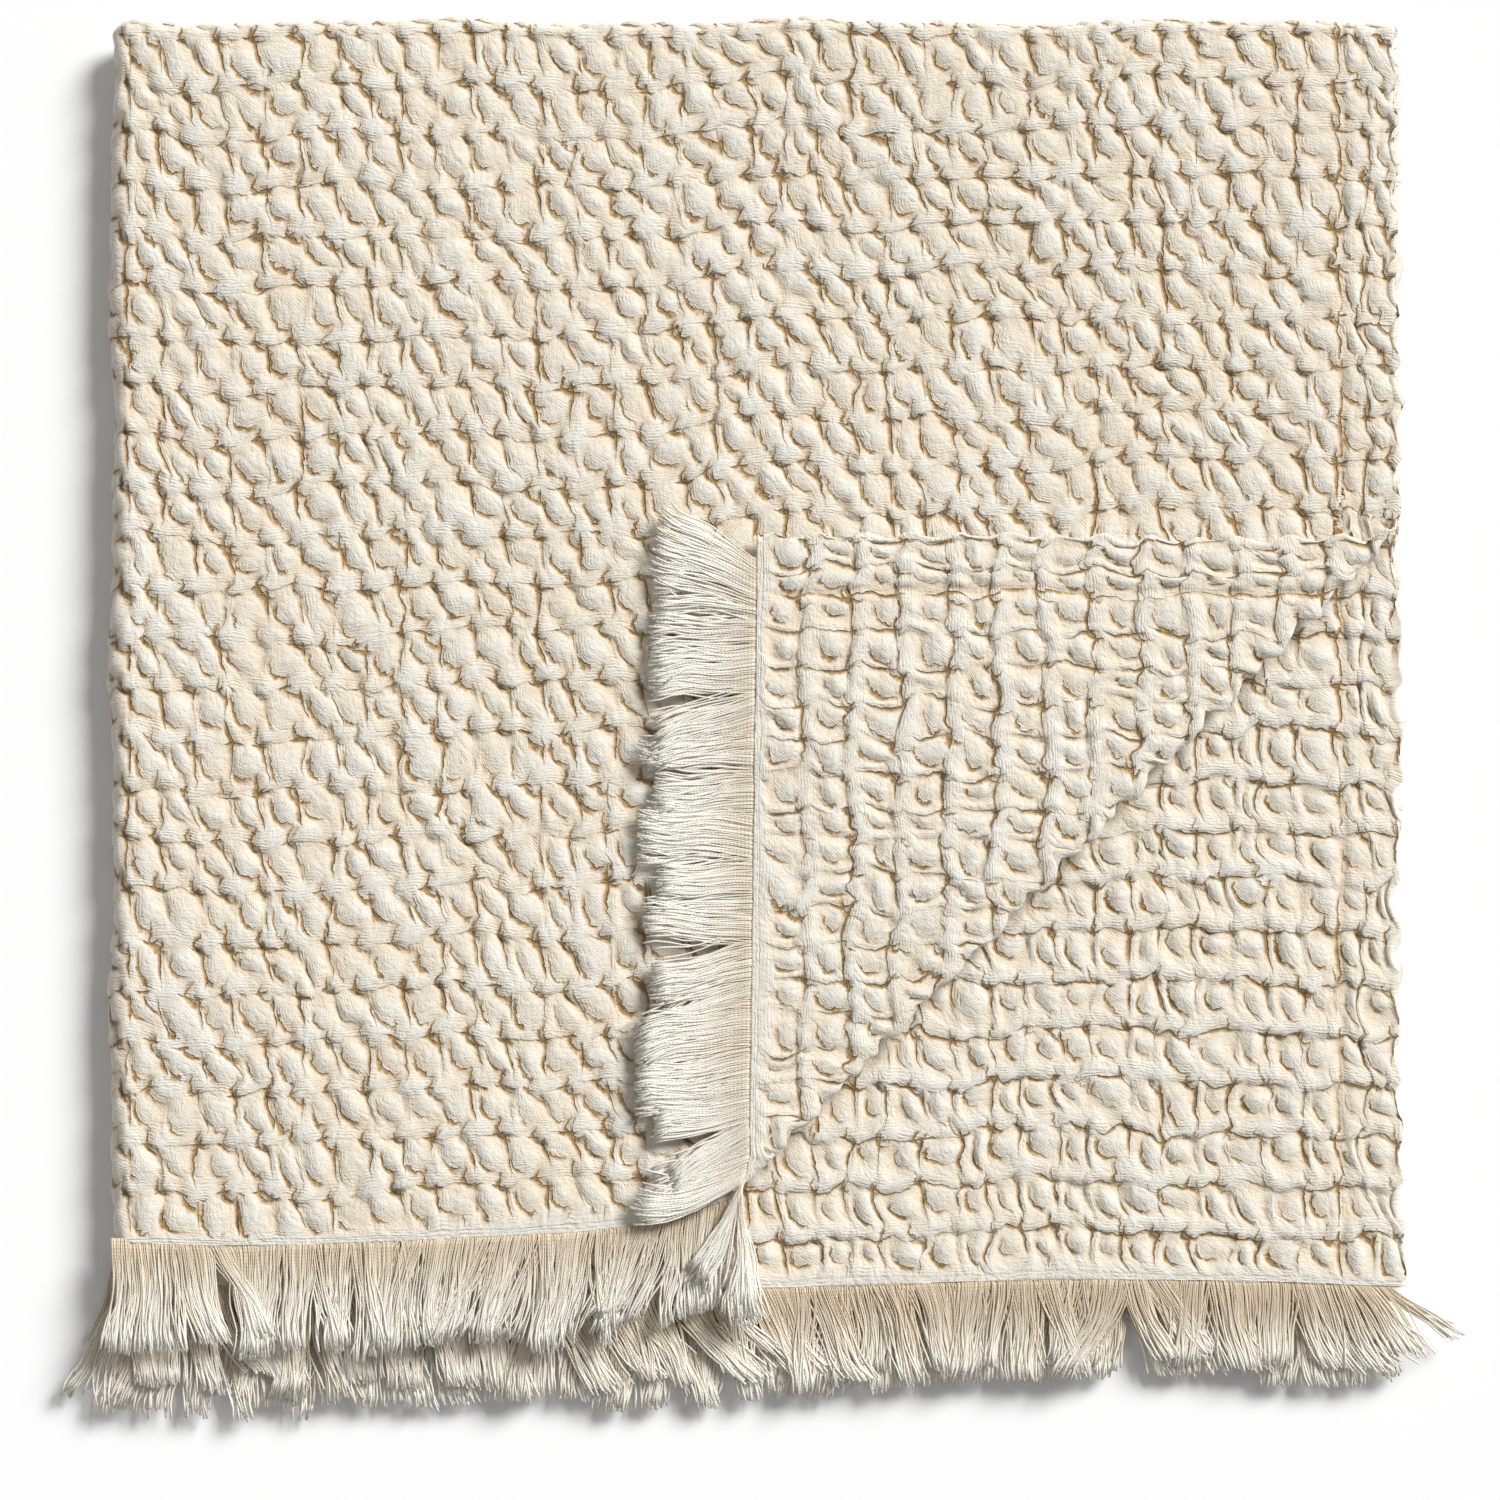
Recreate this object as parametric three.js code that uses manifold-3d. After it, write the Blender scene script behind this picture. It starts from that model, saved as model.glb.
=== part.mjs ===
// Waffle blanket folded in four, fringed ends together, one corner of the top layer turned back.
// Millimetres. x runs along the fringed ends, y from the fringe to the top fold, z up from the floor.
import * as THREE from "three";
import { mergeVertices } from "three/addons/utils/BufferGeometryUtils.js";
import Module from "manifold-3d";

const wasm = await Module();
wasm.setup();

// Folded stack
const LEFT_X = -325;
const RIGHT_X = 321;
const TOP_Y = 347;
const CLOTH = 4.4; // woven sheet without its raised ribs
const RELIEF = 1.5; // ribs round each waffle cell, above the sheet
const PITCH = 7; // from one layer to the next
const LOWER_SHIFT = 8; // lower two layers pushed towards the fringe
const SECOND_OVERHANG = 3; // second layer past the top layer at the right
const LONGEST_STEP = 70; // between grid lines across the flat layers
const EDGE_WAVE = 1.2;
const EDGE_WAVE_LENGTH = 46;
const SETTLE_SHARE = 0.035; // uneven height of the stack, as a share of the height
const SETTLE_LENGTH_X = 74;
const SETTLE_LENGTH_Y = 63;

// Waffle cells and hems
const CELL_X = 17.4;
const CELL_Y = 24.4;
const PIT_LIFT = 0.2; // bottom of a cell over the sheet
const RIB_JITTER = 1.1;
const RIB_UNEVEN = 0.25;
const HEM_WIDTH = 27;
const HEM_GROOVE = 2.4;
const HEM_LIFT = 1.2;
const HEM_INSET = 1.5;
const PLAIN_STRIP = 6; // unribbed cloth along the fringe
const SLAB_ROOT = 2.4; // how deep the ribbed face is sunk into the sheet

// Turned corner: a fold at 45 degrees, along x - y = TURN_LINE at its outer edge
const TURN_LINE = 235;
const TURN_RADIUS = PITCH / 2;
const TURN_TAIL = 4; // sunk into the top layer, past the fold
const TAIL_INSET = 0.15;
const CORNER_BLUNT = 3;

// Fringe
const STRIP = 4;
const STRIP_THICK = 3.4;
const PART_GAP = 0.4;
const LOCK_PITCH = 12;
const LOCK_WIDTH = 7.5;
const LOCK_TIP = 4.6;
const LOCK_THICK = 2.4;
const LOCK_TIP_THICK = 1.5;
const LOCK_ROOT = 1.2; // sunk into the strip
const LOCK_LENGTH = 46;
const LOCK_UNEVEN = 2;

// Cloth edge at the fringe, one row for each turn of its line
const HEM_LINES = {
  top: [
    { x: -325, y: -266 },
    { x: -260, y: -268 },
    { x: -170, y: -265 },
    { x: -90, y: -261 },
    { x: -50, y: -256 },
    { x: -20, y: -246 },
    { x: 10, y: -237 },
    { x: 325, y: -233 },
  ],
  second: [
    { x: -325, y: -287 },
    { x: -120, y: -290 },
    { x: 20, y: -289 },
    { x: 150, y: -285 },
    { x: 240, y: -286 },
    { x: 325, y: -289 },
  ],
  third: [
    { x: -325, y: -295 },
    { x: -240, y: -299 },
    { x: -150, y: -293 },
    { x: -60, y: -298 },
    { x: 120, y: -295 },
    { x: 325, y: -296 },
  ],
  bottom: [
    { x: -325, y: -276 },
    { x: -100, y: -279 },
    { x: 120, y: -275 },
    { x: 325, y: -277 },
  ],
};

// Runs of fringe: drop is the height of a lock's middle by its distance past the hem of the layer under it
const FRINGE_ROWS = [
  {
    name: "fringe_top",
    hem: "top",
    under: "second",
    from: -311,
    to: -12,
    lean: -0.02,
    phase: 0.4,
    steps: 3,
    drop: [
      { past: -20, z: 23.2 },
      { past: -2, z: 22 },
      { past: 8, z: 20.4 },
      { past: 32, z: 15.8 },
    ],
  },
  {
    name: "fringe_second",
    hem: "second",
    under: "third",
    from: -311,
    to: 319,
    lean: 0.06,
    phase: 2.1,
    steps: 3,
    drop: [
      { past: -4, z: 16.2 },
      { past: 10, z: 14.4 },
      { past: 28, z: 10.8 },
      { past: 46, z: 8.4 },
    ],
  },
  {
    name: "fringe_third",
    hem: "third",
    under: "bottom",
    from: -311,
    to: 317,
    lean: -0.03,
    phase: 3.6,
    steps: 2,
    drop: [
      { past: 22, z: 9.2 },
      { past: 46, z: 6.6 },
      { past: 70, z: 3.9 },
    ],
  },
  {
    name: "fringe_bottom",
    hem: "bottom",
    under: "bottom",
    from: -311,
    to: 317,
    lean: 0.03,
    phase: 5.2,
    steps: 2,
    drop: [
      { past: 4, z: 2.2 },
      { past: 24, z: 1.2 },
    ],
  },
];
const FLAP_DROP = [
  { out: 0, z: 30.2 },
  { out: 14, z: 28.9 },
  { out: 45, z: 28.6 },
];
const FLAP_STEPS = 3;
const SWAY = 0.16;
const SWAY_LENGTH = 58;
const LEFT_FLARE = 0.42; // outermost locks lean outwards
const RIGHT_FLARE = 0.24;
const FLARE_REACH = 45;

// Flap fringe: distance up the turned edge, and its locks' turn from pointing left towards pointing down
const FLAP_FAN = [
  { up: 0, turn: 1.3 },
  { up: 22, turn: 0.95 },
  { up: 48, turn: 0.5 },
  { up: 85, turn: 0.15 },
  { up: 140, turn: 0.02 },
  { up: 270, turn: -0.04 },
  { up: 300, turn: -0.2 },
  { up: 322, turn: -0.55 },
];

const IVORY = "#e9dfca";
const PALE_YARN = "#efe9da";

// Derived positions
const HALF_PITCH = PITCH / 2;
const QUARTER_TURN = Math.PI / 2;
const TANGENT_X = LEFT_X + 3 * HALF_PITCH + CLOTH / 2;
const FOLD_Y = TOP_Y - HALF_PITCH - CLOTH / 2;
const MIDDLE_Z = 3 * HALF_PITCH + CLOTH / 2;
const TURN_OUTER = TURN_RADIUS + CLOTH / 2;
const TURN_START = TURN_LINE - TURN_OUTER * Math.SQRT2;
const layerTop = (layer) => layer * PITCH + CLOTH;

// Height of a table's column at a position, straight between its rows
function along(rows, key, value, at) {
  const last = rows.length - 1;
  if (at <= rows[0][key]) return rows[0][value];
  if (at >= rows[last][key]) return rows[last][value];
  const i = rows.findIndex((row) => row[key] > at);
  const share = (at - rows[i - 1][key]) / (rows[i][key] - rows[i - 1][key]);
  return rows[i - 1][value] + share * (rows[i][value] - rows[i - 1][value]);
}

const hemY = (line, x) => along(HEM_LINES[line], "x", "y", x);

// Evenly spaced numbers from first to last
function spread(first, last, steps) {
  return Array.from({ length: steps + 1 }, (_, i) => first + ((last - first) * i) / steps);
}

// Positions from end to end through every turn of the named hem lines, at most LONGEST_STEP apart
function throughTurns(lines, from, to) {
  const turns = lines.flatMap((line) => HEM_LINES[line].map((row) => row.x));
  const inside = turns.filter((x) => x > from && x < to).sort((a, b) => a - b);
  const stops = [from, ...inside.filter((x, i) => x !== inside[i - 1]), to];
  return stops.flatMap((x, i) => {
    if (i === 0) return [x];
    return spread(stops[i - 1], x, Math.ceil((x - stops[i - 1]) / LONGEST_STEP)).slice(1);
  });
}

// Repeatable uneven number between -1 and 1
function uneven(a, b) {
  const wave = Math.sin(a * 127.1 + b * 311.7) * 43758.5453;
  return 2 * (wave - Math.floor(wave)) - 1;
}

// The stack is a little higher in some places than in others, and level on the floor
function settle(p) {
  const swell = Math.sin(p.x / SETTLE_LENGTH_X + 0.6) * Math.cos(p.y / SETTLE_LENGTH_Y - 0.4);
  p.z *= 1 + SETTLE_SHARE * swell;
  return p;
}

// A geometry as a solid that can be joined and cut
function solidOf(geometry) {
  const bare = geometry.clone();
  bare.deleteAttribute("normal");
  bare.deleteAttribute("uv");
  const merged = mergeVertices(bare, 1e-4);
  return new wasm.Manifold(
    new wasm.Mesh({
      numProp: 3,
      vertProperties: new Float32Array(merged.attributes.position.array),
      triVerts: new Uint32Array(merged.index.array),
    }),
  );
}

// A solid as a named mesh
function meshOf(name, solid, colour, roughness) {
  const cut = solid.getMesh();
  const geometry = new THREE.BufferGeometry();
  geometry.setAttribute("position", new THREE.BufferAttribute(new Float32Array(cut.vertProperties), 3));
  geometry.setIndex(new THREE.BufferAttribute(new Uint32Array(cut.triVerts), 1));
  geometry.computeVertexNormals();
  const material = new THREE.MeshStandardMaterial({ color: colour, roughness, metalness: 0 });
  const mesh = new THREE.Mesh(geometry, material);
  mesh.name = name;
  return mesh;
}

// A box with grid lines at two lists of stations, each point moved by place(across, along, side)
function bentBox(acrossStations, alongStations, place) {
  const acrossSteps = acrossStations.length - 1;
  const alongSteps = alongStations.length - 1;
  const box = new THREE.BoxGeometry(1, 1, 1, acrossSteps, alongSteps, 1);
  const position = box.attributes.position;
  for (let i = 0; i < position.count; i += 1) {
    const a = acrossStations[Math.round((position.getX(i) + 0.5) * acrossSteps)];
    const b = alongStations[Math.round((position.getY(i) + 0.5) * alongSteps)];
    const p = settle(place(a, b, position.getZ(i)));
    position.setXYZ(i, p.x, p.y, p.z);
  }
  return solidOf(box);
}

// An upright prism over an outline of [x, y] corners
function prism(outline, low, high) {
  const shape = new THREE.Shape(outline.map(([x, y]) => new THREE.Vector2(x, y)));
  const geometry = new THREE.ExtrudeGeometry(shape, { depth: high - low, bevelEnabled: false });
  return solidOf(geometry.translate(0, 0, low));
}

// The whole sheet: a hairpin along the top, then a wider hairpin along the left that carries both halves
function foldedSheet() {
  const lowerStops = throughTurns(["bottom", "third"], TANGENT_X, RIGHT_X);
  const upperStops = throughTurns(["top", "second"], TANGENT_X, RIGHT_X);
  const lower = lowerStops.reverse().map((x) => ({ x, turn: -QUARTER_TURN }));
  const bend = spread(-QUARTER_TURN, QUARTER_TURN, 8).slice(1, -1);
  const upper = upperStops.map((x) => ({ x, turn: QUARTER_TURN }));
  const across = [...lower, ...bend.map((turn) => ({ x: TANGENT_X, turn })), ...upper];
  const front = spread(1, 0, 9).map((share) => ({ share, tilt: QUARTER_TURN }));
  const crown = spread(QUARTER_TURN, -QUARTER_TURN, 6).slice(1, -1);
  const back = spread(0, 1, 7).map((share) => ({ share, tilt: -QUARTER_TURN }));
  const lengthwise = [...front, ...crown.map((tilt) => ({ share: 0, tilt })), ...back];
  return bentBox(across, lengthwise, (a, b, side) => {
    const upperShare = (1 + Math.sin(a.turn)) / 2;
    const upperHem = hemY(b.tilt > 0 ? "top" : "second", a.x);
    const lowerHem = hemY(b.tilt > 0 ? "bottom" : "third", a.x);
    const end = lowerHem + (upperHem - lowerHem) * upperShare;
    const foldLine = FOLD_Y - LOWER_SHIFT * (1 - upperShare);
    const rise = HALF_PITCH + side * CLOTH;
    const y = foldLine + (end - foldLine) * b.share + rise * Math.cos(b.tilt);
    const reach = PITCH + rise * Math.sin(b.tilt);
    const atEdge = a.x === RIGHT_X ? 1 : 0;
    const overhang = b.tilt < 0 && a.turn > 0 ? SECOND_OVERHANG * b.share : 0;
    const wave = EDGE_WAVE * Math.sin(y / EDGE_WAVE_LENGTH + 2 * a.turn + b.tilt);
    const x = a.x + atEdge * (wave + overhang) - reach * Math.cos(a.turn);
    return new THREE.Vector3(x, y, MIDDLE_Z + reach * Math.sin(a.turn));
  });
}

// A point of the turned corner: s runs along the fold, t away from it in the cloth, h above its middle
function turnedPoint(s, t, h) {
  const arc = Math.PI * TURN_RADIUS;
  const angle = Math.min(Math.max(t / TURN_RADIUS, 0), Math.PI);
  const past = Math.max(t - arc, 0);
  const out = (TURN_RADIUS - h) * Math.sin(angle) - past + Math.min(t, 0);
  const z = layerTop(3) - CLOTH / 2 + TURN_RADIUS - (TURN_RADIUS - h) * Math.cos(angle);
  const difference = TURN_START + out * Math.SQRT2;
  const sum = s * Math.SQRT2;
  return new THREE.Vector3((sum + difference) / 2, (sum - difference) / 2, z);
}

// Flat corner of the top layer in the fold's own directions
const CORNER_Y = hemY("top", RIGHT_X);
const CORNER_S = (RIGHT_X + CORNER_Y) / Math.SQRT2;
const CORNER_T = (RIGHT_X - CORNER_Y - TURN_START) / Math.SQRT2;
const TURN_LOW_X = -2;
const LOW_S = (2 * TURN_LOW_X - TURN_START) / Math.SQRT2;
const HIGH_S = (2 * RIGHT_X - TURN_START) / Math.SQRT2;

// The turned corner with its fold, as a triangle carried round the hairpin
function turnedCorner() {
  const arc = Math.PI * TURN_RADIUS;
  const rows = [-TURN_TAIL, ...spread(0, arc, 7), ...spread(arc, CORNER_T - CORNER_BLUNT, 9).slice(1)];
  return bentBox(spread(1, 0, 12), rows, (across, t, side) => {
    const share = Math.max(t, 0) / CORNER_T;
    const low = LOW_S + (CORNER_S - LOW_S) * share;
    const high = HIGH_S + (CORNER_S - HIGH_S) * share;
    const thick = t < 0 ? CLOTH - 2 * TAIL_INSET : CLOTH;
    const inset = t < 0 ? TURN_TAIL : 0;
    const s = low + inset + (high - low - 2 * inset) * across;
    return turnedPoint(s, t, side * thick);
  });
}

// A face of waffle cells, each an inverted pyramid between raised ribs, on a box sunk into the sheet
function waffleFace({ left, right, low, high, cellX, cellY, top }, outline) {
  const columns = Math.round((right - left) / cellX);
  const rows = Math.round((high - low) / cellY);
  const points = [];
  const faces = [];
  const stepX = (right - left) / columns;
  const stepY = (high - low) / rows;
  const corner = (i, j) => j * (columns + 1) + i;
  for (let j = 0; j <= rows; j += 1) {
    for (let i = 0; i <= columns; i += 1) {
      const x = left + stepX * i + RIB_JITTER * uneven(i, j);
      const y = low + stepY * j + RIB_JITTER * uneven(j + 7, i);
      points.push(new THREE.Vector3(x, y, top + RELIEF + RIB_UNEVEN * uneven(i + 3, j + 5)));
    }
  }
  for (let j = 0; j < rows; j += 1) {
    for (let i = 0; i < columns; i += 1) {
      const pit = points.length;
      const x = left + stepX * (i + 0.5);
      const y = low + stepY * (j + 0.5);
      points.push(new THREE.Vector3(x, y, top + PIT_LIFT));
      const ring = [corner(i, j), corner(i + 1, j), corner(i + 1, j + 1), corner(i, j + 1)];
      ring.forEach((a, k) => faces.push(a, ring[(k + 1) % 4], pit));
    }
  }
  const rim = [
    ...spread(0, columns - 1, columns - 1).map((i) => corner(i, 0)),
    ...spread(0, rows - 1, rows - 1).map((j) => corner(columns, j)),
    ...spread(columns, 1, columns - 1).map((i) => corner(i, rows)),
    ...spread(rows, 1, rows - 1).map((j) => corner(0, j)),
  ];
  const root = points.length;
  rim.forEach((a) => points.push(points[a].clone().setZ(top - SLAB_ROOT)));
  const middle = points.length;
  points.push(new THREE.Vector3((left + right) / 2, (low + high) / 2, top - SLAB_ROOT));
  rim.forEach((a, k) => {
    const next = (k + 1) % rim.length;
    faces.push(a, root + k, root + next, a, root + next, rim[next]);
    faces.push(middle, root + next, root + k);
  });
  const geometry = new THREE.BufferGeometry().setFromPoints(points.map(settle)).setIndex(faces);
  return solidOf(geometry).intersect(prism(outline, top - CLOTH, top + CLOTH));
}

// A flat doubled hem, raised a little over the sheet
function hemBand({ left, right, low, high, top }, outline) {
  const across = spread(left, right, Math.ceil((right - left) / LONGEST_STEP));
  const lengthwise = spread(low, high, Math.ceil((high - low) / LONGEST_STEP));
  const band = bentBox(across, lengthwise, (x, y, side) => {
    return new THREE.Vector3(x, y, side > 0 ? top + HEM_LIFT : top - SLAB_ROOT);
  });
  return band.intersect(prism(outline, top - CLOTH, top + CLOTH));
}

// Limits of the ribbed faces
const OUTLINE_MARGIN = 40; // cutting shapes reach past the cloth by this much
const CUT_UNDER = 0.5;
const CUT_STEPS = 8;
const PAST_RIGHT = RIGHT_X + OUTLINE_MARGIN;
const FACE_FOLD = TURN_START - TURN_TAIL * Math.SQRT2;
const FACE_FOLD_FOOT = FACE_FOLD + hemY("top", 0) + PLAIN_STRIP;
const LOWEST_TOP_HEM = Math.min(...HEM_LINES.top.map((row) => row.y));

// The edge of the turned corner that carries the fringe, from the fold upwards
const FLAP_EDGE_LOW = turnedPoint(LOW_S, Math.PI * TURN_RADIUS, 0);
const FLAP_EDGE_HIGH = turnedPoint(CORNER_S, CORNER_T, 0);

// Corners of a ribbed face along its hem, kept clear of the fringe
function hemSide(line, from, to) {
  return throughTurns([line], from, to).map((x) => [x, hemY(line, x) + PLAIN_STRIP]);
}

// Ribbed face and doubled side hem of the top layer, up to the turned corner's fold
function topFaces() {
  const right = RIGHT_X - HEM_WIDTH;
  const face = { left: TANGENT_X, right, low: LOWEST_TOP_HEM, high: FOLD_Y, top: layerTop(3) };
  const outline = [
    ...hemSide("top", LEFT_X, FACE_FOLD_FOOT),
    [PAST_RIGHT, PAST_RIGHT - FACE_FOLD],
    [PAST_RIGHT, TOP_Y],
    [LEFT_X, TOP_Y],
  ];
  const hem = { ...face, left: face.right + HEM_GROOVE, right: RIGHT_X - HEM_INSET };
  return [waffleFace({ ...face, cellX: CELL_X, cellY: CELL_Y }, outline), hemBand(hem, outline)];
}

// Ribbed face and doubled side hem of the second layer, where the turned corner uncovers it
function secondFaces() {
  const right = RIGHT_X + SECOND_OVERHANG - HEM_WIDTH;
  const low = hemY("second", 0);
  const face = { left: FACE_FOLD_FOOT, right, low, high: RIGHT_X - TURN_LINE, top: layerTop(2) };
  const outline = [
    ...hemSide("second", FACE_FOLD_FOOT, PAST_RIGHT),
    [PAST_RIGHT, PAST_RIGHT - FACE_FOLD],
    [FACE_FOLD_FOOT, FACE_FOLD_FOOT - FACE_FOLD],
  ];
  const hem = { ...face, left: right + HEM_GROOVE, right: RIGHT_X - HEM_INSET };
  return [waffleFace({ ...face, cellX: CELL_X, cellY: CELL_Y }, outline), hemBand(hem, outline)];
}

// Ribbed face and doubled side hem of the turned corner, its cells turned with it
function flapFaces() {
  const left = FLAP_EDGE_LOW.x + PLAIN_STRIP;
  const high = FLAP_EDGE_HIGH.y - HEM_WIDTH;
  const face = { left, right: RIGHT_X - HEM_WIDTH, low: FLAP_EDGE_LOW.y, high, top: layerTop(4) };
  const outline = [
    [left, left - FACE_FOLD],
    [FLAP_EDGE_HIGH.y + FACE_FOLD, FLAP_EDGE_HIGH.y],
    [left, FLAP_EDGE_HIGH.y],
  ];
  const hem = { ...face, right: RIGHT_X, low: high + HEM_GROOVE, high: FLAP_EDGE_HIGH.y - HEM_INSET };
  return [waffleFace({ ...face, cellX: CELL_Y, cellY: CELL_X }, outline), hemBand(hem, outline)];
}

// Space that the top layer's corner leaves when it is turned back
function turnedAway() {
  const reach = spread(0, CORNER_T + OUTLINE_MARGIN, CUT_STEPS);
  const width = spread(HIGH_S + OUTLINE_MARGIN, LOW_S - OUTLINE_MARGIN, CUT_STEPS);
  return bentBox(width, reach, (s, t, side) => {
    const sum = s * Math.SQRT2;
    const difference = TURN_START + t * Math.SQRT2;
    const z = side > 0 ? layerTop(4) : layerTop(3) - CLOTH - CUT_UNDER;
    return new THREE.Vector3((sum + difference) / 2, (sum - difference) / 2, z);
  });
}

// Cloth of the blanket as one solid
function cloth() {
  const sheet = foldedSheet().subtract(turnedAway());
  return wasm.Manifold.union([sheet, turnedCorner(), ...topFaces(), ...secondFaces(), ...flapFaces()]);
}

// One four-sided lock of yarn, thinning from its root to its tip; level gives its middle line's height
function lock(root, bearing, steps, length, level) {
  const out = new THREE.Vector2(Math.cos(bearing), Math.sin(bearing));
  const aside = new THREE.Vector2(out.y, -out.x);
  return bentBox([-0.5, 0.5], spread(0, 1, steps), (across, share, side) => {
    const reach = share === 0 ? -LOCK_ROOT : share * length;
    const width = LOCK_WIDTH + (LOCK_TIP - LOCK_WIDTH) * share;
    const thick = LOCK_THICK + (LOCK_TIP_THICK - LOCK_THICK) * share;
    const middle = root.clone().addScaledVector(out, reach);
    const z = level(middle, share * length) - LOCK_THICK / 2 + (side + 0.5) * thick;
    const p = middle.addScaledVector(aside, across * width);
    return new THREE.Vector3(p.x, p.y, z);
  });
}

// A run of fringe along a hem line, its strip parted from the cloth's edge
function hemFringe({ hem, under, from, to, lean, phase, steps, drop }) {
  const strip = bentBox(throughTurns([hem], from, to), [STRIP, 0], (x, out, side) => {
    const y = hemY(hem, x) - PART_GAP - out;
    return new THREE.Vector3(x, y, drop[0].z + side * STRIP_THICK);
  });
  const level = (p, reach) => (reach === 0 ? drop[0].z : along(drop, "past", "z", hemY(under, p.x) - p.y));
  const first = from + LOCK_WIDTH / 2 + 1;
  const last = to - LOCK_WIDTH / 2 - 1;
  const locks = spread(first, last, Math.floor((last - first) / LOCK_PITCH)).map((x, i) => {
    const leftFlare = LEFT_FLARE * Math.max(0, 1 - (x - first) / FLARE_REACH);
    const rightFlare = RIGHT_FLARE * Math.max(0, 1 - (last - x) / FLARE_REACH);
    const sway = lean + SWAY * Math.sin(x / SWAY_LENGTH + phase) + rightFlare - leftFlare;
    const root = new THREE.Vector2(x, hemY(hem, x) - PART_GAP - STRIP);
    const length = LOCK_LENGTH + LOCK_UNEVEN * uneven(i, phase);
    return lock(root, -QUARTER_TURN + sway, steps, length, level);
  });
  return wasm.Manifold.union([strip, ...locks]);
}

// The run along the turned corner: its strip goes up the edge and its locks fan out at both ends
function flapFringe() {
  const low = new THREE.Vector2(FLAP_EDGE_LOW.x, FLAP_EDGE_LOW.y);
  const high = new THREE.Vector2(FLAP_EDGE_HIGH.x, FLAP_EDGE_HIGH.y - CORNER_BLUNT);
  const height = high.distanceTo(low);
  const edge = (up) => low.clone().lerp(high, up / height);
  const strip = bentBox([0, STRIP], [0, height], (out, up, side) => {
    const p = edge(up);
    return new THREE.Vector3(p.x - PART_GAP - STRIP + out, p.y, FLAP_DROP[0].z + side * STRIP_THICK);
  });
  const level = (p, reach) => along(FLAP_DROP, "out", "z", reach);
  const first = LOCK_WIDTH / 2 + 1;
  const last = height - LOCK_WIDTH / 2 - 1;
  const locks = spread(first, last, Math.floor((last - first) / LOCK_PITCH)).map((up, i) => {
    const bearing = Math.PI + along(FLAP_FAN, "up", "turn", up);
    const root = edge(up);
    root.x -= PART_GAP + STRIP;
    return lock(root, bearing, FLAP_STEPS, LOCK_LENGTH + LOCK_UNEVEN * uneven(i, 9), level);
  });
  return wasm.Manifold.union([strip, ...locks]);
}

const blanket = new THREE.Group();
blanket.name = "waffle_blanket";
blanket.add(meshOf("cloth", cloth(), IVORY, 0.95));
FRINGE_ROWS.forEach((row) => blanket.add(meshOf(row.name, hemFringe(row), PALE_YARN, 0.9)));
blanket.add(meshOf("fringe_flap", flapFringe(), PALE_YARN, 0.9));

export default blanket;
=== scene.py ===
"""Waffle blanket folded in four, with one corner of its top layer turned back and fringed ends.

The cloth is one woven sheet. It is folded in half along the top, then in half along the left, so four
layers lie on each other, and the top layer's lower right corner is turned back over a fold at 45 degrees.
Sizes are in millimetres in the frame's axes, and become metres where a mesh is written.
"""
import logging
from dataclasses import dataclass, field
from enum import Enum, IntEnum

import bpy
import numpy as np
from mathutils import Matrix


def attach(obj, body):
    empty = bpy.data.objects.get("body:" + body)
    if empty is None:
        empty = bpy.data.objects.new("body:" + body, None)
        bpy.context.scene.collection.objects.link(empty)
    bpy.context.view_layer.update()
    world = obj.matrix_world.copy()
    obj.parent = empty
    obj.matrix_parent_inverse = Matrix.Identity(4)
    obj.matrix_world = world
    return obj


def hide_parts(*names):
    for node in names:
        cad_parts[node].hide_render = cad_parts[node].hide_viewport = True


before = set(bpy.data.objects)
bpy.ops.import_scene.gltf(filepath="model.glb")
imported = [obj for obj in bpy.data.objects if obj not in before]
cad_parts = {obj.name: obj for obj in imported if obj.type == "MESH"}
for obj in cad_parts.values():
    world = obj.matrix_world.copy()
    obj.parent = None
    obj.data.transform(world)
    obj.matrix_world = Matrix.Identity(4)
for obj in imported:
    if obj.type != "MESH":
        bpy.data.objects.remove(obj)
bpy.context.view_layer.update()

LOG = logging.getLogger("waffle_blanket")
BODY = "root"
MM = 0.001
QUARTER = np.pi / 2
FULL_TURN = 2 * np.pi
ROOT_TWO = np.sqrt(2.0)
TINY = 1e-6
NEAR_NOUGHT = 0.0001
SHADE_LEFT = 0.8
SHADE_DOWN = 0.6
CLOTH_VALUES = ("rib", "welt", "cavity", "crevice", "tone")
YARN_VALUES = ("tone", "reach")
Array = np.ndarray
Socket = bpy.types.NodeSocket
Pair = tuple[float, float]
Triple = tuple[float, float, float]
Colour = tuple[float, float, float, float]


class Layer(Enum):
    """The four layers of the folded sheet, from the top down."""

    TOP = 3
    SECOND = 2
    THIRD = 1
    BOTTOM = 0


class Side(Enum):
    """The two faces of the sheet, with the sign of their height over its middle."""

    FRONT = 1
    BACK = -1


class Slot(Enum):
    """Names for the cloth's and the fringe's materials."""

    CLOTH = "cloth"
    FRINGE = "fringe"


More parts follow.
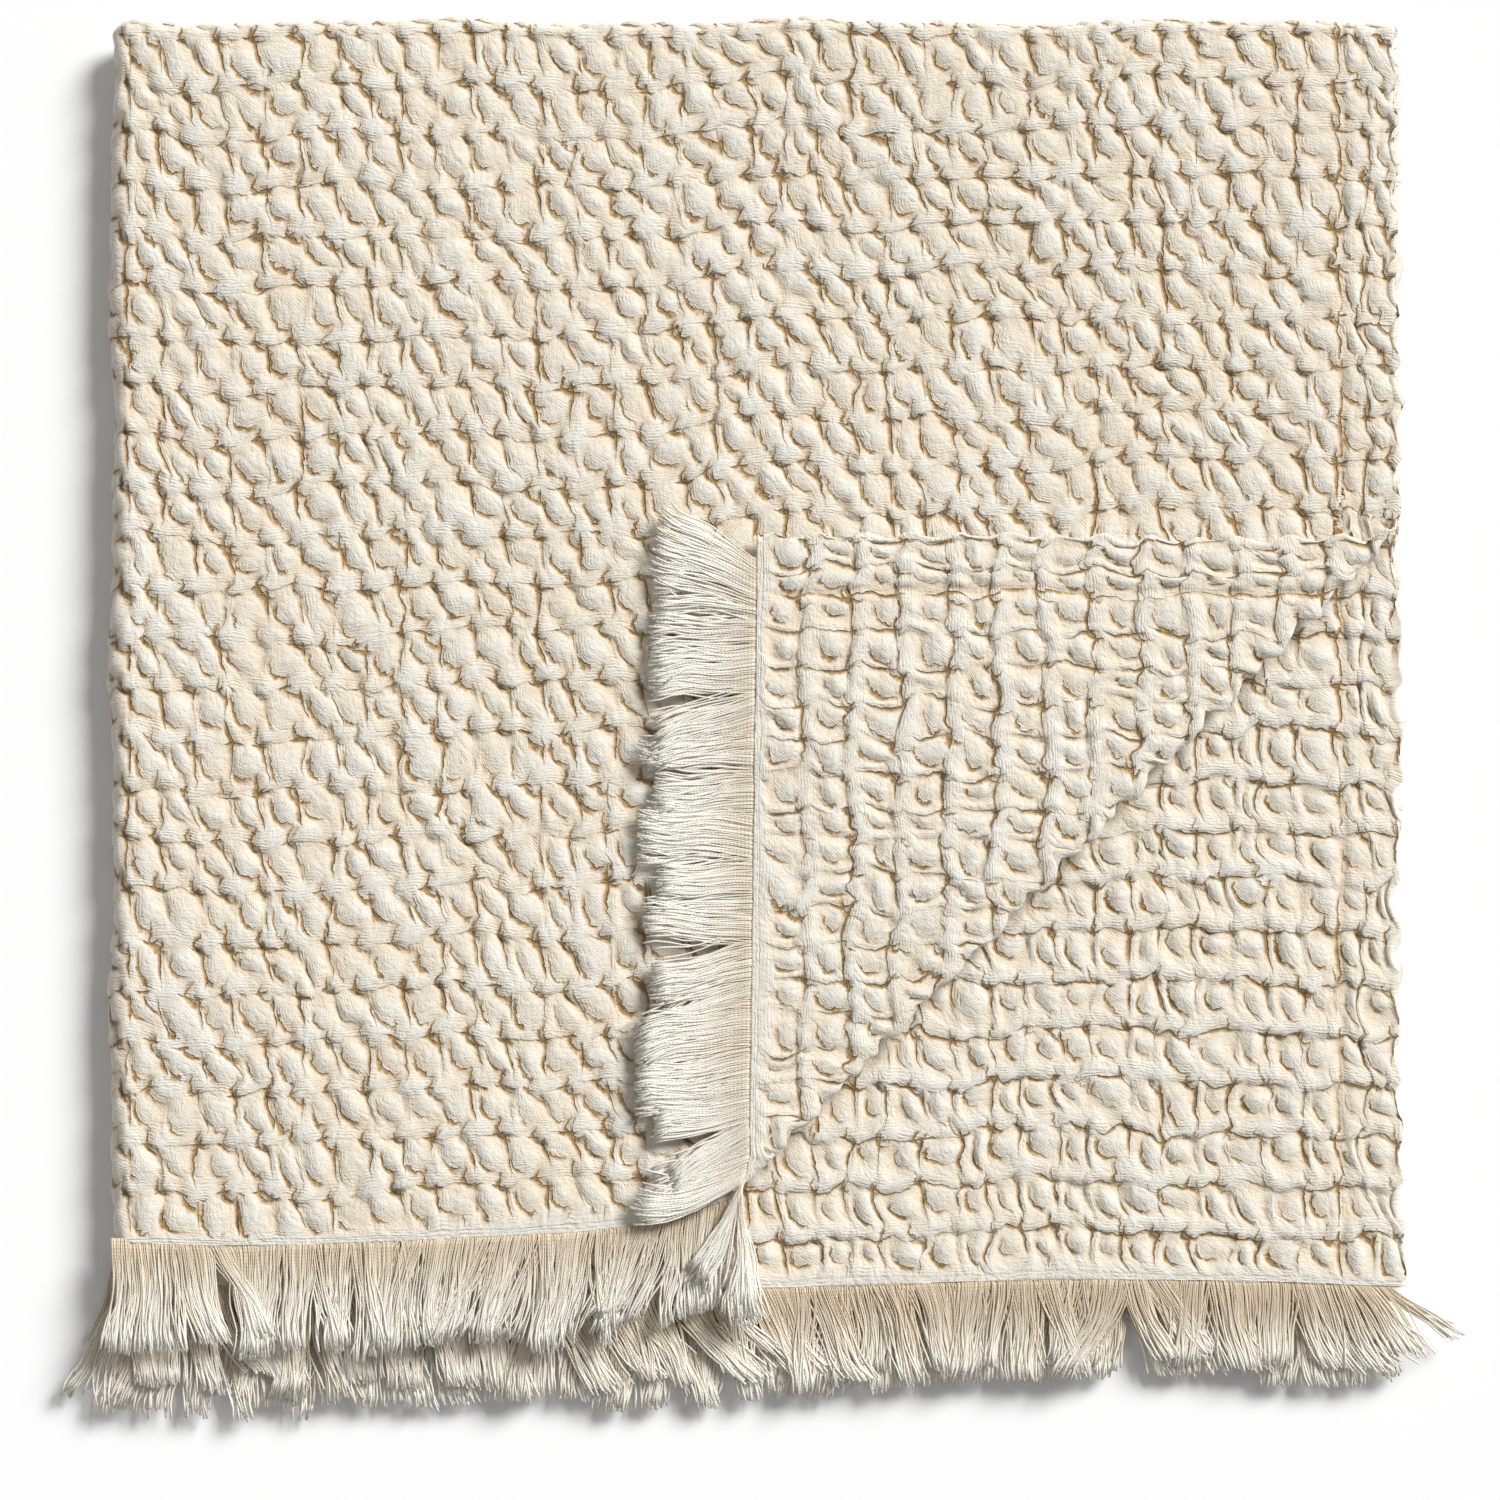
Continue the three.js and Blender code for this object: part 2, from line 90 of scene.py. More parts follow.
class Chance(IntEnum):
    """Tables of random numbers for the cells of a weave. Two names on one table vary together."""

    RIB_HEIGHT = 0
    WELT_SWELL = 1
    PILLOW_ACROSS = 2
    PILLOW_DOWN = 3
    PUFF = 4
    CRUMPLE = 5
    JOINT_ACROSS = 6
    SLIT = 6
    GROOVE = 6
    LEAN = 7
    BOW = 8
    SWAY_ACROSS = 9
    SWAY_DOWN = 10
    JOINT_DOWN = 11
    SCALLOP = 11
    JOINT_SIZE = 12
    TONE = 12
    RIB_PLACE = 13
    PILLOW_WIDE = 14
    PILLOW_TALL = 15
    DRIFT_ACROSS = 16
    DRIFT_DOWN = 17
    RIB_WOBBLE = 17
    WELT_WOBBLE = 18
    JOINT_HEIGHT = 19
    WELT_BREAK = 19


@dataclass(frozen=True)
class Line:
    """A quantity that goes straight from one named position to the next."""

    at: tuple[float, ...]
    value: tuple[float, ...]

    def over(self, position: Array) -> Array:
        """Value at each position."""
        return np.interp(position, self.at, self.value)


HEMS = {
    Layer.TOP: Line(
        (-325, -260, -170, -90, -50, -20, 10, 325),
        (-266, -268, -265, -261, -256, -246, -237, -233),
    ),
    Layer.SECOND: Line(
        (-325, -120, 20, 150, 240, 325),
        (-287, -290, -289, -285, -286, -289),
    ),
    Layer.THIRD: Line(
        (-325, -240, -150, -60, 120, 325),
        (-295, -299, -293, -298, -295, -296),
    ),
    Layer.BOTTOM: Line(
        (-325, -100, 120, 325),
        (-276, -279, -275, -277),
    ),
}


@dataclass(frozen=True)
class FoldPlan:
    """Where the sheet turns and where its layers lie.

    A place on the sheet is u, across from the middle of the left fold and positive in the upper half, v,
    along from the middle of the top fold and positive in the outer half, and lift, its height over the
    sheet's middle towards the front face.
    """

    left_x: float = -325.0
    right_x: float = 321.0
    top_y: float = 347.0
    cloth: float = 4.4
    pitch: float = 7.0
    lower_shift: float = 8.0
    overhang: float = 3.0
    edge_wave: float = 1.2
    edge_wave_length: float = 46.0
    edge_reach: float = 40.0
    fold_wave: float = 1.2
    fold_wave_length: float = 31.0
    fold_phase: float = 0.7
    fold_ripple: float = 0.6
    fold_ripple_pace: float = 2.3
    settle_share: float = 0.035
    settle_x: float = 74.0
    settle_y: float = 63.0
    settle_phase_x: float = 0.6
    settle_phase_y: float = -0.4
    turn_line: float = 235.0
    turn_wave: float = 2.4
    turn_ripples: tuple[Triple, ...] = ((1.0, 7.3, 0.0), (0.8, 4.7, 1.0), (0.6, 2.9, 2.0))
    turn_reach: float = 32.0
    outer_length: float = 607.0
    inner_length: float = 629.0

    @property
    def half_pitch(self) -> float:
        """Radius of the top fold and of the turned corner's fold."""
        return self.pitch / 2

    @property
    def tangent_x(self) -> float:
        """Where the left fold's round starts."""
        return self.left_x + 3 * self.half_pitch + self.cloth / 2

    @property
    def fold_y(self) -> float:
        """Where the top fold's round starts."""
        return self.top_y - self.half_pitch - self.cloth / 2

    @property
    def middle_z(self) -> float:
        """Height of the middle of the stack."""
        return 3 * self.half_pitch + self.cloth / 2

    @property
    def turn_start(self) -> float:
        """Value of x - y where the turned corner's round starts."""
        return self.turn_line - (self.half_pitch + self.cloth / 2) * ROOT_TWO

    @property
    def side_arc(self) -> float:
        """Half of the cloth in the left fold's round."""
        return self.pitch * QUARTER

    @property
    def crown_arc(self) -> float:
        """Half of the cloth in the top fold's round."""
        return self.half_pitch * QUARTER

    @property
    def half_width(self) -> float:
        """Cloth from the middle of the left fold to a side edge."""
        return self.side_arc + self.right_x - self.tangent_x

    def layer_z(self, layer: Layer) -> float:
        """Height of the middle of a layer."""
        return layer.value * self.pitch + self.cloth / 2

    def uneven(self, along: Array) -> Array:
        """How far a folded edge stands out: two waves of its length."""
        at = along / self.fold_wave_length
        ripple = self.fold_ripple * np.sin(self.fold_ripple_pace * at)
        return self.fold_wave * (np.sin(at + self.fold_phase) + ripple)

    def settle(self, points: Array) -> Array:
        """Make the stack a little higher in some places than in others, level on the floor.

        Args:
            points: Places in millimetres, with x, y and z last.

        Returns:
            The places with z multiplied by one plus a slow wave of x and y, and none below the floor.
        """
        wave_x = np.sin(points[..., 0] / self.settle_x + self.settle_phase_x)
        wave_y = np.cos(points[..., 1] / self.settle_y + self.settle_phase_y)
        settled = points.copy()
        settled[..., 2] *= 1 + self.settle_share * wave_x * wave_y
        settled[..., 2] = np.maximum(settled[..., 2], 0)
        return settled

    def place(self, u: Array, v: Array, lift: Array) -> Array:
        """Carry places on the flat sheet to where they lie in the folded blanket.

        A hairpin of radius half a pitch turns the sheet over along the top, and a wider hairpin along the
        left carries both halves: y ends on the hem of its layer, and x and z follow the round by its turn.
        Near a side edge x waves with y, and both folds stand out unevenly.

        Args:
            u: Distance across from the middle of the left fold.
            v: Distance along from the middle of the top fold.
            lift: Height over the sheet's middle.

        Returns:
            Places in millimetres, with x, y and z last.
        """
        turn = np.clip(u / self.pitch, -QUARTER, QUARTER)
        tilt = np.clip(v / self.half_pitch, -QUARTER, QUARTER)
        flat_x = self.tangent_x + np.maximum(np.abs(u) - self.side_arc, 0)
        outer_share = np.maximum(v - self.crown_arc, 0) / self.outer_length
        inner_share = np.maximum(-v - self.crown_arc, 0) / self.inner_length
        upper = (1 + np.sin(turn)) / 2
        outer_end = HEMS[Layer.BOTTOM].over(flat_x) * (1 - upper) + HEMS[Layer.TOP].over(flat_x) * upper
        inner_end = HEMS[Layer.THIRD].over(flat_x) * (1 - upper) + HEMS[Layer.SECOND].over(flat_x) * upper
        fold_line = self.fold_y - self.lower_shift * (1 - upper) + self.uneven(flat_x)
        rise = self.half_pitch + lift
        run = (outer_end - fold_line) * outer_share + (inner_end - fold_line) * inner_share
        y = fold_line + run + rise * np.cos(tilt)
        reach = self.pitch + rise * np.sin(tilt)
        edge = np.clip(1 - (self.half_width - np.abs(u)) / self.edge_reach, 0, 1)
        wave = self.edge_wave * np.sin(y / self.edge_wave_length + 2 * turn + tilt)
        wave = wave + self.overhang * inner_share * np.clip(turn, 0, 1)
        x = flat_x + edge * wave - (reach + self.uneven(y)) * np.cos(turn)
        z = self.middle_z + reach * np.sin(turn)
        points = np.stack([x, y, z], axis=-1)
        corner = (u > 0) & (v > 0)
        return self.settle(np.where(corner[..., None], self.turned(points, lift), points))

    def turned(self, points: Array, lift: Array) -> Array:
        """Turn the top layer's corner back over its diagonal fold.

        Distance t past the fold becomes an angle on a round of radius half a pitch, and what is left over
        after half a turn goes back the way it came, over the layer. Waves of the distance along the fold,
        each with its share, length and phase, make the folded edge uneven.

        Args:
            points: Places in the top layer.
            lift: Their heights over the sheet's middle.

        Returns:
            The places after the fold.
        """
        radius = self.half_pitch
        total = points[..., 0] + points[..., 1]
        past = points[..., 0] - points[..., 1] - self.turn_start
        ripples = [share * np.sin(total / length + phase) for share, length, phase in self.turn_ripples]
        wave = self.turn_wave * sum(ripples)
        start = self.turn_start + wave * np.clip(1 - np.abs(past) / self.turn_reach, 0, 1)
        t = (points[..., 0] - points[..., 1] - start) / ROOT_TWO
        angle = np.clip(t / radius, 0, np.pi)
        out = (radius - lift) * np.sin(angle) - np.maximum(t - np.pi * radius, 0) + np.minimum(t, 0)
        difference = start + out * ROOT_TWO
        level = self.layer_z(Layer.TOP) + radius - (radius - lift) * np.cos(angle)
        folded = np.stack([(total + difference) / 2, (total - difference) / 2, level], axis=-1)
        return np.where((t > 0)[..., None], folded, points)


def lower_left(u: Array, v: Array) -> Array:
    """How far the way to a place points to the lower left, away from the light, from minus one to one."""
    return (SHADE_DOWN * v - SHADE_LEFT * u) / (np.hypot(u, v) + TINY)


def bell(at: Array) -> Array:
    """A bell curve: e to the power of minus the square."""
    return np.exp(-(at ** 2))


@dataclass(frozen=True)
class Dome:
    """A round lump of the weave: its height in millimetres, and its reach each way in shares of a cell."""

    height: float
    left: float
    right: float
    above: float
    below: float
    crisp: float
    soft: float
    lit_span: float = 0.6
    ring_from: float = 0.1
    ring_span: float = 0.6
    ring_at: float = 1.05
    ring_width: float = 0.24

    def shares(self, across: Array, down: Array) -> tuple[Array, Array]:
        """Places from the lump's top, in shares of its reach that way."""
        u = across / np.where(across < 0, self.left, self.right)
        v = down / np.where(down < 0, self.above, self.below)
        return u, v

    def rise(self, u: Array, v: Array) -> Array:
        """Height at shares of the reach.

        Args:
            u: Shares across.
            v: Shares down.

        Returns:
            One minus the distance squared, to a power that grows from the lower left to the upper right.
        """
        lit = np.clip(0.5 - self.lit_span * lower_left(u, v), 0, 1)
        power = self.crisp + (self.soft - self.crisp) * lit
        return self.height * np.clip(1 - u * u - v * v, 0, 1) ** power

    def foot(self, u: Array, v: Array) -> Array:
        """Closeness to the lump's foot on its lower left side.

        Args:
            u: Shares across.
            v: Shares down.

        Returns:
            A bell over the distance from the lump's outline, times how far to the lower left it lies.
        """
        side = np.clip((lower_left(u, v) - self.ring_from) / self.ring_span, 0, 1)
        return side * bell((np.hypot(u, v) - self.ring_at) / self.ring_width)


@dataclass(frozen=True)
class Ridge:
    """A ridge of the weave that stands up steeply on its shaded side and falls away slowly on the other.

    Its height is in millimetres, and the rest in shares of a cell across the ridge.
    """

    height: float
    edge: float
    steep: float
    crown: float
    slope: float
    curve: float

    def over(self, at: Array) -> Array:
        """Height at places across the ridge, which are negative on its shaded side.

        Args:
            at: Shares of a cell from the ridge's middle.

        Returns:
            An S curve up the shaded side, times what is left of the slope past the crown, to a power.
        """
        shaded = np.clip((at + self.edge + self.steep) / self.steep, 0, 1)
        gentle = np.clip(1 - (at - self.crown) / self.slope, 0, 1)
        return self.height * shaded * shaded * (3 - 2 * shaded) * gentle ** self.curve

    def foot(self, at: Array, width: float) -> Array:
        """Closeness to the foot of the shaded side: a bell of the width."""
        return bell((at + self.edge + self.steep) / width)


@dataclass(frozen=True)
class Weave:
    """Relief of one face of the cloth: welts along the rows, ribs between the cells, joints and pillows.

    A joint is the lump where a rib meets a welt, and a pillow is the lump in a cell. Crevices lie along the
    shaded feet of the lumps and ribs, and finer ones under the welts; they are cut in as trenches, and the
    finish paints shade in them. Heights and moves are in millimetres, and places and widths in shares of a
    cell.
    """

    side: Side
    seed: int
    floor: float
    welt: Ridge
    rib: Ridge
    joint: Dome
    pillow: Dome
    pillow_at: float
    pillow_down: float
    pillow_spread: float
    ring: float
    slit: float
    under: float
    trench: float
    jitter: float
    sway_across: float
    sway_down: float
    drift: float
    lean: float
    bow: float
    wobble: float
    lean_spread: float = 3.6
    bow_spread: float = 1.2
    uneven: float = 0.30
    crumple: float = 0.4
    puff_most: float = 1.3
    crevice_most: float = 1.3
    slit_width: float = 0.11
    slit_run: Line = Line((0.10, 0.20, 0.60, 0.90), (0, 1, 1, 0))
    slit_deep: float = 0.75
    slit_spread: float = 0.6
    slit_most: float = 1.2
    under_width: float = 0.07
    lean_run: Line = Line((0, 0.15, 0.85, 1), (0, -0.5, 0.5, 0))
    rib_waves: float = 3.0
    welt_waves: float = 2.6
    swell_waves: float = 2.0
    break_waves: float = 1.6
    crumple_down: float = 2.7
    crumple_across: float = 2.3
    drift_cells: float = 3.0
    scallop: float = 1.5
    scallop_middle: float = 0.4
    scallop_spread: float = 0.5
    cavity_share: float = 0.95
    spare_cells: int = 3

    def tables(self, net: "Lattice") -> Array:
        """Random numbers between minus one and one for every cell, the same at each call."""
        size = (len(Chance), net.rows + self.spare_cells, net.columns + self.spare_cells)
        return np.random.default_rng(self.seed).uniform(-1, 1, size)


FRONT_WEAVE = Weave(
    side=Side.FRONT, seed=31, floor=-0.6,
    welt=Ridge(0.5, 0.06, 0.12, 0.10, 0.45, 1.2),
    rib=Ridge(0.9, 0.0, 0.12, 0.12, 0.45, 1.2),
    joint=Dome(1.65, 0.36, 0.52, 0.34, 0.27, 0.34, 1.1),
    pillow=Dome(1.6, 0.36, 0.50, 0.35, 0.31, 0.34, 1.0),
    pillow_at=0.46, pillow_down=0.53, pillow_spread=0.4,
    ring=1.0, slit=0.6, under=0.15, trench=1.2, jitter=0.11,
    sway_across=2.6, sway_down=2.6, drift=3.0, lean=3.2, bow=-0.8, wobble=0.08,
)
BACK_WEAVE = Weave(
    side=Side.BACK, seed=57, floor=-0.9,
    welt=Ridge(1.8, 0.13, 0.06, 0.13, 0.13, 1.0),
    rib=Ridge(1.25, 0.04, 0.07, 0.05, 0.13, 1.0),
    joint=Dome(2.1, 0.31, 0.37, 0.24, 0.22, 0.45, 0.8),
    pillow=Dome(2.15, 0.35, 0.34, 0.28, 0.27, 0.36, 0.6),
    pillow_at=0.54, pillow_down=0.48, pillow_spread=0.35,
    ring=0.75, slit=0.5, under=0.55, trench=0.9, jitter=0.10,
    sway_across=2.8, sway_down=2.6, drift=2.8, lean=1.4, bow=-3.0, wobble=0.10,
)


def smooth_between(table: Array, row: Array, column: Array) -> Array:
    """Read a table between its entries, easing from one to the next, and start again past its end.

    Args:
        table: Numbers at whole rows and columns.
        row: Rows to read at, with fractions.
        column: Columns to read at, with fractions.

    Returns:
        The blend of the four entries around each place, with an S-shaped weight in both directions.
    """
    rows, columns = table.shape
    i = np.floor(row).astype(int)
    j = np.floor(column).astype(int)
    a = row - i
    b = column - j
    a = a * a * (3 - 2 * a)
    b = b * b * (3 - 2 * b)
    upper = table[i % rows, j % columns] * (1 - b) + table[i % rows, (j + 1) % columns] * b
    lower = table[(i + 1) % rows, j % columns] * (1 - b) + table[(i + 1) % rows, (j + 1) % columns] * b
    return upper * (1 - a) + lower * a


@dataclass
class Surface:
    """One face of the cloth on the whole lattice."""

    points: Array
    cavity: Array
    crevice: Array
    rib: Array
    welt: Array
    tone: Array
    seen: Array


class Lattice:
    """Grid lines of the flat cloth: cells of the weave, each split into finer steps by its welt and rib."""

    CROWN_SLACK = 1.1
    STRIP_SLACK = 0.1
    EDGE_SLACK = 0.01
    ACROSS_STEPS = np.array([0, 0.10, 0.20, 0.34, 0.50, 0.66, 0.80, 0.90])
    DOWN_STEPS = np.array([0, 0.09, 0.16, 0.23, 0.36, 0.52, 0.68, 0.82])

    def __init__(
        self, plan: FoldPlan, columns: int, outer_rows: int, inner_rows: int, hem: float, strip: float,
    ) -> None:
        """Lay out the cells.

        Args:
            plan: Folds of the sheet.
            columns: Cells from the left fold to the side hem.
            outer_rows: Rows of cells in the outer half, without its plain strip.
            inner_rows: Rows of cells in the inner half, without its plain strip.
            hem: Width of the side hem, which is two cells.
            strip: Width of the plain strip at the fringe, which is one cell.
        """
        inner_edge = plan.half_width - hem
        cells = np.linspace(plan.side_arc, inner_edge, columns + 1)
        half = np.concatenate([cells, [inner_edge + hem / 2, plan.half_width]])
        self.u_lines = np.concatenate([-half[::-1], [0], half])
        crown = plan.crown_arc
        outer = np.linspace(crown, crown + plan.outer_length - strip, outer_rows + 1)
        inner = np.linspace(crown, crown + plan.inner_length - strip, inner_rows + 1)
        inner_end = -(crown + plan.inner_length)
        self.v_lines = np.concatenate([[inner_end], -inner[::-1], outer, [crown + plan.outer_length]])
        self.inner_start = -self.CROWN_SLACK * crown
        self.columns = len(self.u_lines) - 1
        self.rows = len(self.v_lines) - 1
        self.across = len(self.ACROSS_STEPS)
        self.along = len(self.DOWN_STEPS)
        up_steps = np.append(0, 1 - self.DOWN_STEPS[:0:-1])
        across = np.tile(self.ACROSS_STEPS, (self.columns, 1))
        along = np.where((self.v_lines[:-1] < self.inner_start)[:, None], up_steps, self.DOWN_STEPS)
        self.along_steps = along
        self.cell_u, self.share_u, self.u = self._refine(self.u_lines, across)
        self.cell_v, self.share_v, self.v = self._refine(self.v_lines, along)
        self.width = len(self.u)
        self.height = len(self.v)

    @staticmethod
    def _refine(lines: Array, steps: Array) -> tuple[Array, Array, Array]:
        """Split cells into steps.

        Args:
            lines: Cell boundaries.
            steps: Shares of each cell at which its finer lines stand.

        Returns:
            The cell of each fine line, its share of that cell, and its position.
        """
        cells, count = steps.shape
        cell = np.append(np.repeat(np.arange(cells), count), cells)
        share = np.append(steps.ravel(), 0)
        size = np.append(np.diff(lines), 0)
        return cell, share, lines[cell] + share * size[cell]

    def middle(self) -> tuple[Array, Array]:
        """Middles of the cells across and along, on a grid."""
        u = (self.u_lines[1:] + self.u_lines[:-1]) / 2
        v = (self.v_lines[1:] + self.v_lines[:-1]) / 2
        return np.meshgrid(u, v)

    def quads(self, cells: Array) -> Array:
        """What is true of each cell, for each fine quad in it."""
        return np.repeat(np.repeat(cells, self.along, axis=0), self.across, axis=1)

    def strips(self) -> Array:
        """Rows of points in the plain strips at the fringes."""
        slack = self.STRIP_SLACK
        return (self.v > self.v_lines[-2] - slack) | (self.v < self.v_lines[1] + slack)

    def side_edges(self) -> Array:
        """Columns of points on the side edges."""
        return np.abs(self.u) >= self.u_lines[-1] - self.EDGE_SLACK

    def end_edges(self) -> Array:
        """Rows of points on the fringed edges."""
        slack = self.EDGE_SLACK
        return (self.v >= self.v_lines[-1] - slack) | (self.v <= self.v_lines[0] + slack)

    def hem_line(self) -> float:
        """Distance across to the inner edge of the side hem."""
        return self.u_lines[-3]


@dataclass
class MeshParts:
    """Arrays of a mesh: points in millimetres, polygons as loops, and what the materials read."""

    points: Array
    loops: Array
    starts: Array
    maps: dict[str, Array]
    values: dict[str, Array]

    def to_object(self, name: str, material: bpy.types.Material) -> bpy.types.Object:
        """Write the arrays into a new object at the origin.

        Args:
            name: Name of the piece.
            material: Its finish.

        Returns:
            The object, smooth shaded and linked to the scene.
        """
        mesh = bpy.data.meshes.new(name)
        mesh.vertices.add(len(self.points))
        mesh.vertices.foreach_set("co", (self.points * MM).astype(np.float32).ravel())
        mesh.loops.add(len(self.loops))
        mesh.loops.foreach_set("vertex_index", self.loops.astype(np.int32))
        mesh.polygons.add(len(self.starts))
        mesh.polygons.foreach_set("loop_start", self.starts.astype(np.int32))
        mesh.polygons.foreach_set("use_smooth", np.ones(len(self.starts), dtype=bool))
        for key, places in self.maps.items():
            layer = mesh.uv_layers.new(name=key)
            layer.data.foreach_set("uv", places.astype(np.float32).ravel())
        for key, numbers in self.values.items():
            attribute = mesh.attributes.new(key, "FLOAT", "POINT")
            attribute.data.foreach_set("value", numbers.astype(np.float32))
        mesh.update(calc_edges=True)
        mesh.validate()
        mesh.materials.append(material)
        piece = bpy.data.objects.new(name, mesh)
        bpy.context.scene.collection.objects.link(piece)
        return piece


@dataclass
class Relief:
    """Weave of one face before it is folded: heights over the sheet's middle, and shares of its forms."""

    lift: Array
    crevice: Array
    rib: Array
    welt: Array
    crumple: Array
    groove: Array


class WeaveFace:
    """One face of the cloth: where each point of the lattice lies in its cell, and its relief there."""

    def __init__(self, cloth: "BlanketCloth", weave: Weave) -> None:
        """Find each point's cell and its share of it, and the points of the strips and edges.

        Args:
            cloth: Sizes of the cloth.
            weave: Sizes and unevenness of the face.
        """
        net = cloth.lattice
        self.cloth = cloth
        self.weave = weave
        self.net = net
        self.tables = weave.tables(net)
        self.cell_u, self.cell_v = np.meshgrid(net.cell_u, net.cell_v)
        self.share_u, self.share_v = np.meshgrid(net.share_u, net.share_v)
        self.at_u = self.cell_u + self.share_u
        self.at_v = self.cell_v + self.share_v
        self.outward = (net.v > net.inner_start)[:, None]
        self.down = np.where(self.outward, self.share_v, 1 - self.share_v)
        self.strip = net.strips()[:, None]
        self.side_edge = net.side_edges()[None, :]
        self.end_edge = net.end_edges()[:, None]
        self.edge = self.side_edge | self.end_edge

    def eased(self, chance: Chance, row: Array, column: Array) -> Array:
        """Random numbers that ease from one cell to the next."""
        return smooth_between(self.tables[chance], row, column)

    def uneven(self, chance: Chance, row: Array, column: Array) -> Array:
        """Random shares round one, the same for every point of a lump."""
        return 1 + self.weave.uneven * self.tables[chance][row, column]

    def jitter(self, chance: Chance, row: Array, column: Array) -> Array:
        """Random moves in shares of a cell, the same for every point of a lump."""
        return self.weave.jitter * self.tables[chance][row, column]

    def pillow_shares(self, row: Array, column: Array, across: Array, down: Array) -> tuple[Array, Array]:
        """Find places in shares of the reach of their cell's pillow.

        Args:
            row: Rows of the cells.
            column: Columns of the cells.
            across: Shares of the cell from its left.
            down: Shares of the cell from its upper welt.

        Returns:
            Shares across and down from the pillow's top.
        """
        u = across - self.weave.pillow_at - self.jitter(Chance.PILLOW_ACROSS, row, column)
        v = down - self.weave.pillow_down - self.jitter(Chance.PILLOW_DOWN, row, column)
        wide = self.uneven(Chance.PILLOW_WIDE, row, column)
        tall = self.uneven(Chance.PILLOW_TALL, row, column)
        return self.weave.pillow.shares(u * wide, v * tall)

    def joint_shares(self, row: Array, column: Array, across: Array, down: Array) -> tuple[Array, Array]:
        """Find places in shares of the reach of the lump where a rib meets a welt.

        Args:
            row: Rows of the welts.
            column: Columns of the ribs.
            across: Shares of a cell from the rib.
            down: Shares of a cell from the welt.

        Returns:
            Shares across and down from the lump's top.
        """
        size = self.uneven(Chance.JOINT_SIZE, row, column)
        u = across - self.jitter(Chance.JOINT_ACROSS, row, column)
        v = down - self.jitter(Chance.JOINT_DOWN, row, column)
        return self.weave.joint.shares(u * size, v * size)

    def rib_at(self, row: Array, column: Array, across: Array, at_v: Array) -> Array:
        """Find places across a rib that wobbles down the cloth.

        Args:
            row: Rows of the cells.
            column: Columns of the ribs.
            across: Shares of a cell from the rib's column.
            at_v: Places down the cloth, in cells.

        Returns:
            Shares of a cell from the rib's middle.
        """
        wobble = self.weave.wobble * self.eased(Chance.RIB_WOBBLE, self.weave.rib_waves * at_v, column)
        return across + self.jitter(Chance.RIB_PLACE, row, column) + wobble

    def welt_at(self, row: Array, up: Array, at_u: Array) -> Array:
        """Find places across a welt that wobbles along its row.

        Args:
            row: Rows of the welts.
            up: Shares of a cell up from the welt's row.
            at_u: Places across the cloth, in cells.

        Returns:
            Shares of a cell up from the welt's middle.
        """
        return up + self.weave.wobble * self.eased(Chance.WELT_WOBBLE, row, self.weave.welt_waves * at_u)

    def welt_row(self, lower: int) -> Array:
        """Rows of the welts over the points' cells, or of those under them."""
        return np.where(self.outward, self.cell_v + lower, self.cell_v + 1 - lower)

    def pillows(self) -> tuple[Array, Array]:
        """Heights of the pillows, and the crevices at their feet, which are weak where a pillow is flat."""
        weave = self.weave
        u, v = self.pillow_shares(self.cell_v, self.cell_u, self.share_u, self.down)
        spread = weave.pillow_spread * self.tables[Chance.PUFF][self.cell_v, self.cell_u]
        puff = np.clip(1 + spread, 0, weave.puff_most)
        return puff * weave.pillow.rise(u, v), np.clip(puff, 0, 1) * weave.ring * weave.pillow.foot(u, v)

    def ribs(self) -> tuple[Array, Array]:
        """Heights of the ribs on both sides of a cell, and the slits at the feet of those on its right."""
        weave = self.weave
        heights = np.zeros_like(self.at_u)
        for right in (0, 1):
            column = self.cell_u + right
            at = self.rib_at(self.cell_v, column, self.share_u - right, self.at_v)
            size = self.uneven(Chance.RIB_HEIGHT, self.cell_v, column)
            heights = np.maximum(heights, size * weave.rib.over(at))
        column = self.cell_u + 1
        at = self.rib_at(self.cell_v, column, self.share_u - 1, self.at_v)
        deep = weave.slit_deep + weave.slit_spread * self.tables[Chance.SLIT][self.cell_v, column]
        slit = weave.slit * weave.rib.foot(at, weave.slit_width) * weave.slit_run.over(self.down)
        return heights, slit * np.clip(deep, 0, weave.slit_most)

    def welts(self) -> tuple[Array, Array]:
        """Heights of the welts over and under a cell, and the broken crevices under the upper ones."""
        weave = self.weave
        heights = np.zeros_like(self.at_u)
        for lower in (0, 1):
            row = self.welt_row(lower)
            at = self.welt_at(row, lower - self.down, self.at_u)
            swell = 1 + weave.uneven * self.eased(Chance.WELT_SWELL, row, weave.swell_waves * self.at_u)
            heights = np.maximum(heights, swell * weave.welt.over(at))
        row = self.welt_row(0)
        at = self.welt_at(row, -self.down, self.at_u)
        broken = np.clip(0.5 + self.eased(Chance.WELT_BREAK, row, weave.break_waves * self.at_u), 0, 1)
        return heights, weave.under * weave.welt.foot(at, weave.under_width) * broken

    def joints(self) -> tuple[Array, Array]:
        """Heights of the joints at a cell's four corners, and the crevices at their feet."""
        weave = self.weave
        heights = np.zeros_like(self.at_u)
        feet = np.zeros_like(self.at_u)
        for lower, right in ((0, 0), (0, 1), (1, 0), (1, 1)):
            row = self.welt_row(lower)
            column = self.cell_u + right
            u, v = self.joint_shares(row, column, self.share_u - right, self.down - lower)
            size = self.uneven(Chance.JOINT_HEIGHT, row, column)
            heights = np.maximum(heights, size * weave.joint.rise(u, v))
            feet = np.maximum(feet, weave.ring * weave.joint.foot(u, v))
        return heights, feet

